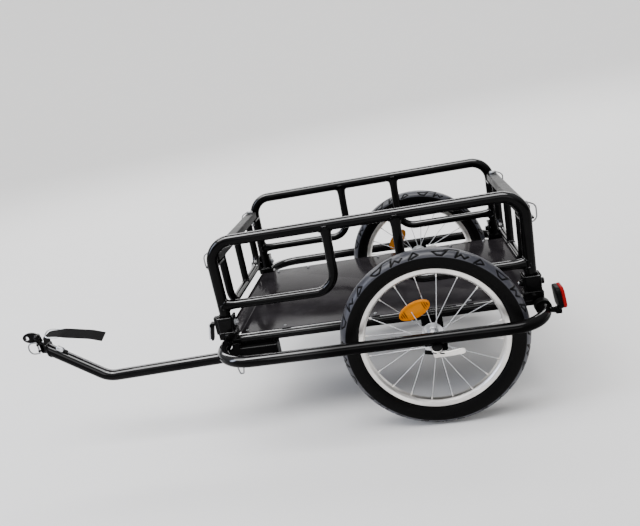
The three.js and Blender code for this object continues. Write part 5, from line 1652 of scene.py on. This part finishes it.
class TRAILER_OT_brackets(bpy.types.Operator):
    """Corner brackets, skewers and their levers"""

    bl_idname = "trailer.brackets"
    bl_label = "Brackets"

    def execute(self, context):
        for end, way, post_x in ENDS:
            for name, side in SIDES:
                build_bracket(end, post_x, name, side)
                build_skewer(end, way, post_x, name, side)
        for name, side in SIDES:
            build_panel_lever(name, side)
        return {"FINISHED"}


class TRAILER_OT_gates(bpy.types.Operator):
    """Both gates with their lock pins"""

    bl_idname = "trailer.gates"
    bl_label = "Gates"

    def execute(self, context):
        for end, way, post_x in ENDS:
            build_gate(context.scene.trailer_sizes, end, way, post_x)
            for name, side in SIDES:
                build_lock_pin(end, way, post_x, name, side)
        return {"FINISHED"}


class TRAILER_OT_wheels(bpy.types.Operator):
    """Both wheels with their axles, dropouts and levers"""

    bl_idname = "trailer.wheels"
    bl_label = "Wheels"

    def execute(self, context):
        sizes = context.scene.trailer_sizes
        for name, side in SIDES:
            build_tyre(sizes, name, side)
            build_rim(sizes, name, side)
            build_hub(sizes, name, side)
            build_spoke_reflector(name, side)
            build_axle_set(name, side)
        return {"FINISHED"}


class TRAILER_OT_tow_bar(bpy.types.Operator):
    """Tow bar, receiver and pull pin"""

    bl_idname = "trailer.tow_bar"
    bl_label = "Tow bar"

    def execute(self, context):
        build_tow_bar(context.scene.trailer_sizes)
        build_receiver(context.scene.trailer_sizes)
        return {"FINISHED"}


class TRAILER_OT_hitch(bpy.types.Operator):
    """Hitch at the tow bar's tip"""

    bl_idname = "trailer.hitch"
    bl_label = "Hitch"

    def execute(self, context):
        build_end_plate(context.scene.trailer_sizes)
        build_latch(context.scene.trailer_sizes)
        build_yaw_pin()
        build_fork()
        build_eye_plate()
        build_hitch_ring()
        return {"FINISHED"}


class TRAILER_OT_strap(bpy.types.Operator):
    """Safety strap and its ring"""

    bl_idname = "trailer.strap"
    bl_label = "Strap"

    def execute(self, context):
        build_strap(context.scene.trailer_sizes)
        return {"FINISHED"}


class TRAILER_OT_rear_reflector(bpy.types.Operator):
    """Clamp, case and lens of the rear reflector"""

    bl_idname = "trailer.rear_reflector"
    bl_label = "Rear reflector"

    def execute(self, context):
        build_rear_reflector(context.scene.trailer_sizes)
        return {"FINISHED"}


class TRAILER_OT_stage(bpy.types.Operator):
    """Floor, lights and camera"""

    bl_idname = "trailer.stage"
    bl_label = "Stage"

    def execute(self, context):
        build_stage(context.scene.trailer_sizes)
        return {"FINISHED"}


OPERATORS = (
    TRAILER_OT_frame_tubes, TRAILER_OT_deck, TRAILER_OT_side_panels, TRAILER_OT_brackets,
    TRAILER_OT_gates, TRAILER_OT_wheels, TRAILER_OT_tow_bar, TRAILER_OT_hitch, TRAILER_OT_strap,
    TRAILER_OT_rear_reflector, TRAILER_OT_stage,
)


class TRAILER_PT_panel(bpy.types.Panel):
    """Lists the sizes, the colours and the building steps."""

    bl_label = "Trailer"
    bl_idname = "TRAILER_PT_panel"
    bl_space_type = "VIEW_3D"
    bl_region_type = "UI"
    bl_category = "Trailer"

    def draw(self, context):
        for group in (context.scene.trailer_sizes, context.scene.trailer_colours):
            for key in group.__annotations__:
                self.layout.prop(group, key)
        for made in OPERATORS:
            self.layout.operator(made.bl_idname)


CLASSES = (TrailerSizes, TrailerColours, *OPERATORS, TRAILER_PT_panel)


def register():
    for made in CLASSES:
        bpy.utils.register_class(made)
    bpy.types.Scene.trailer_sizes = bpy.props.PointerProperty(type=TrailerSizes)
    bpy.types.Scene.trailer_colours = bpy.props.PointerProperty(type=TrailerColours)


def unregister():
    del bpy.types.Scene.trailer_colours
    del bpy.types.Scene.trailer_sizes
    for made in reversed(CLASSES):
        bpy.utils.unregister_class(made)


def main():
    register()
    for made in OPERATORS:
        getattr(bpy.ops.trailer, made.bl_idname.split(".")[1])()


if __name__ == "__main__":
    main()
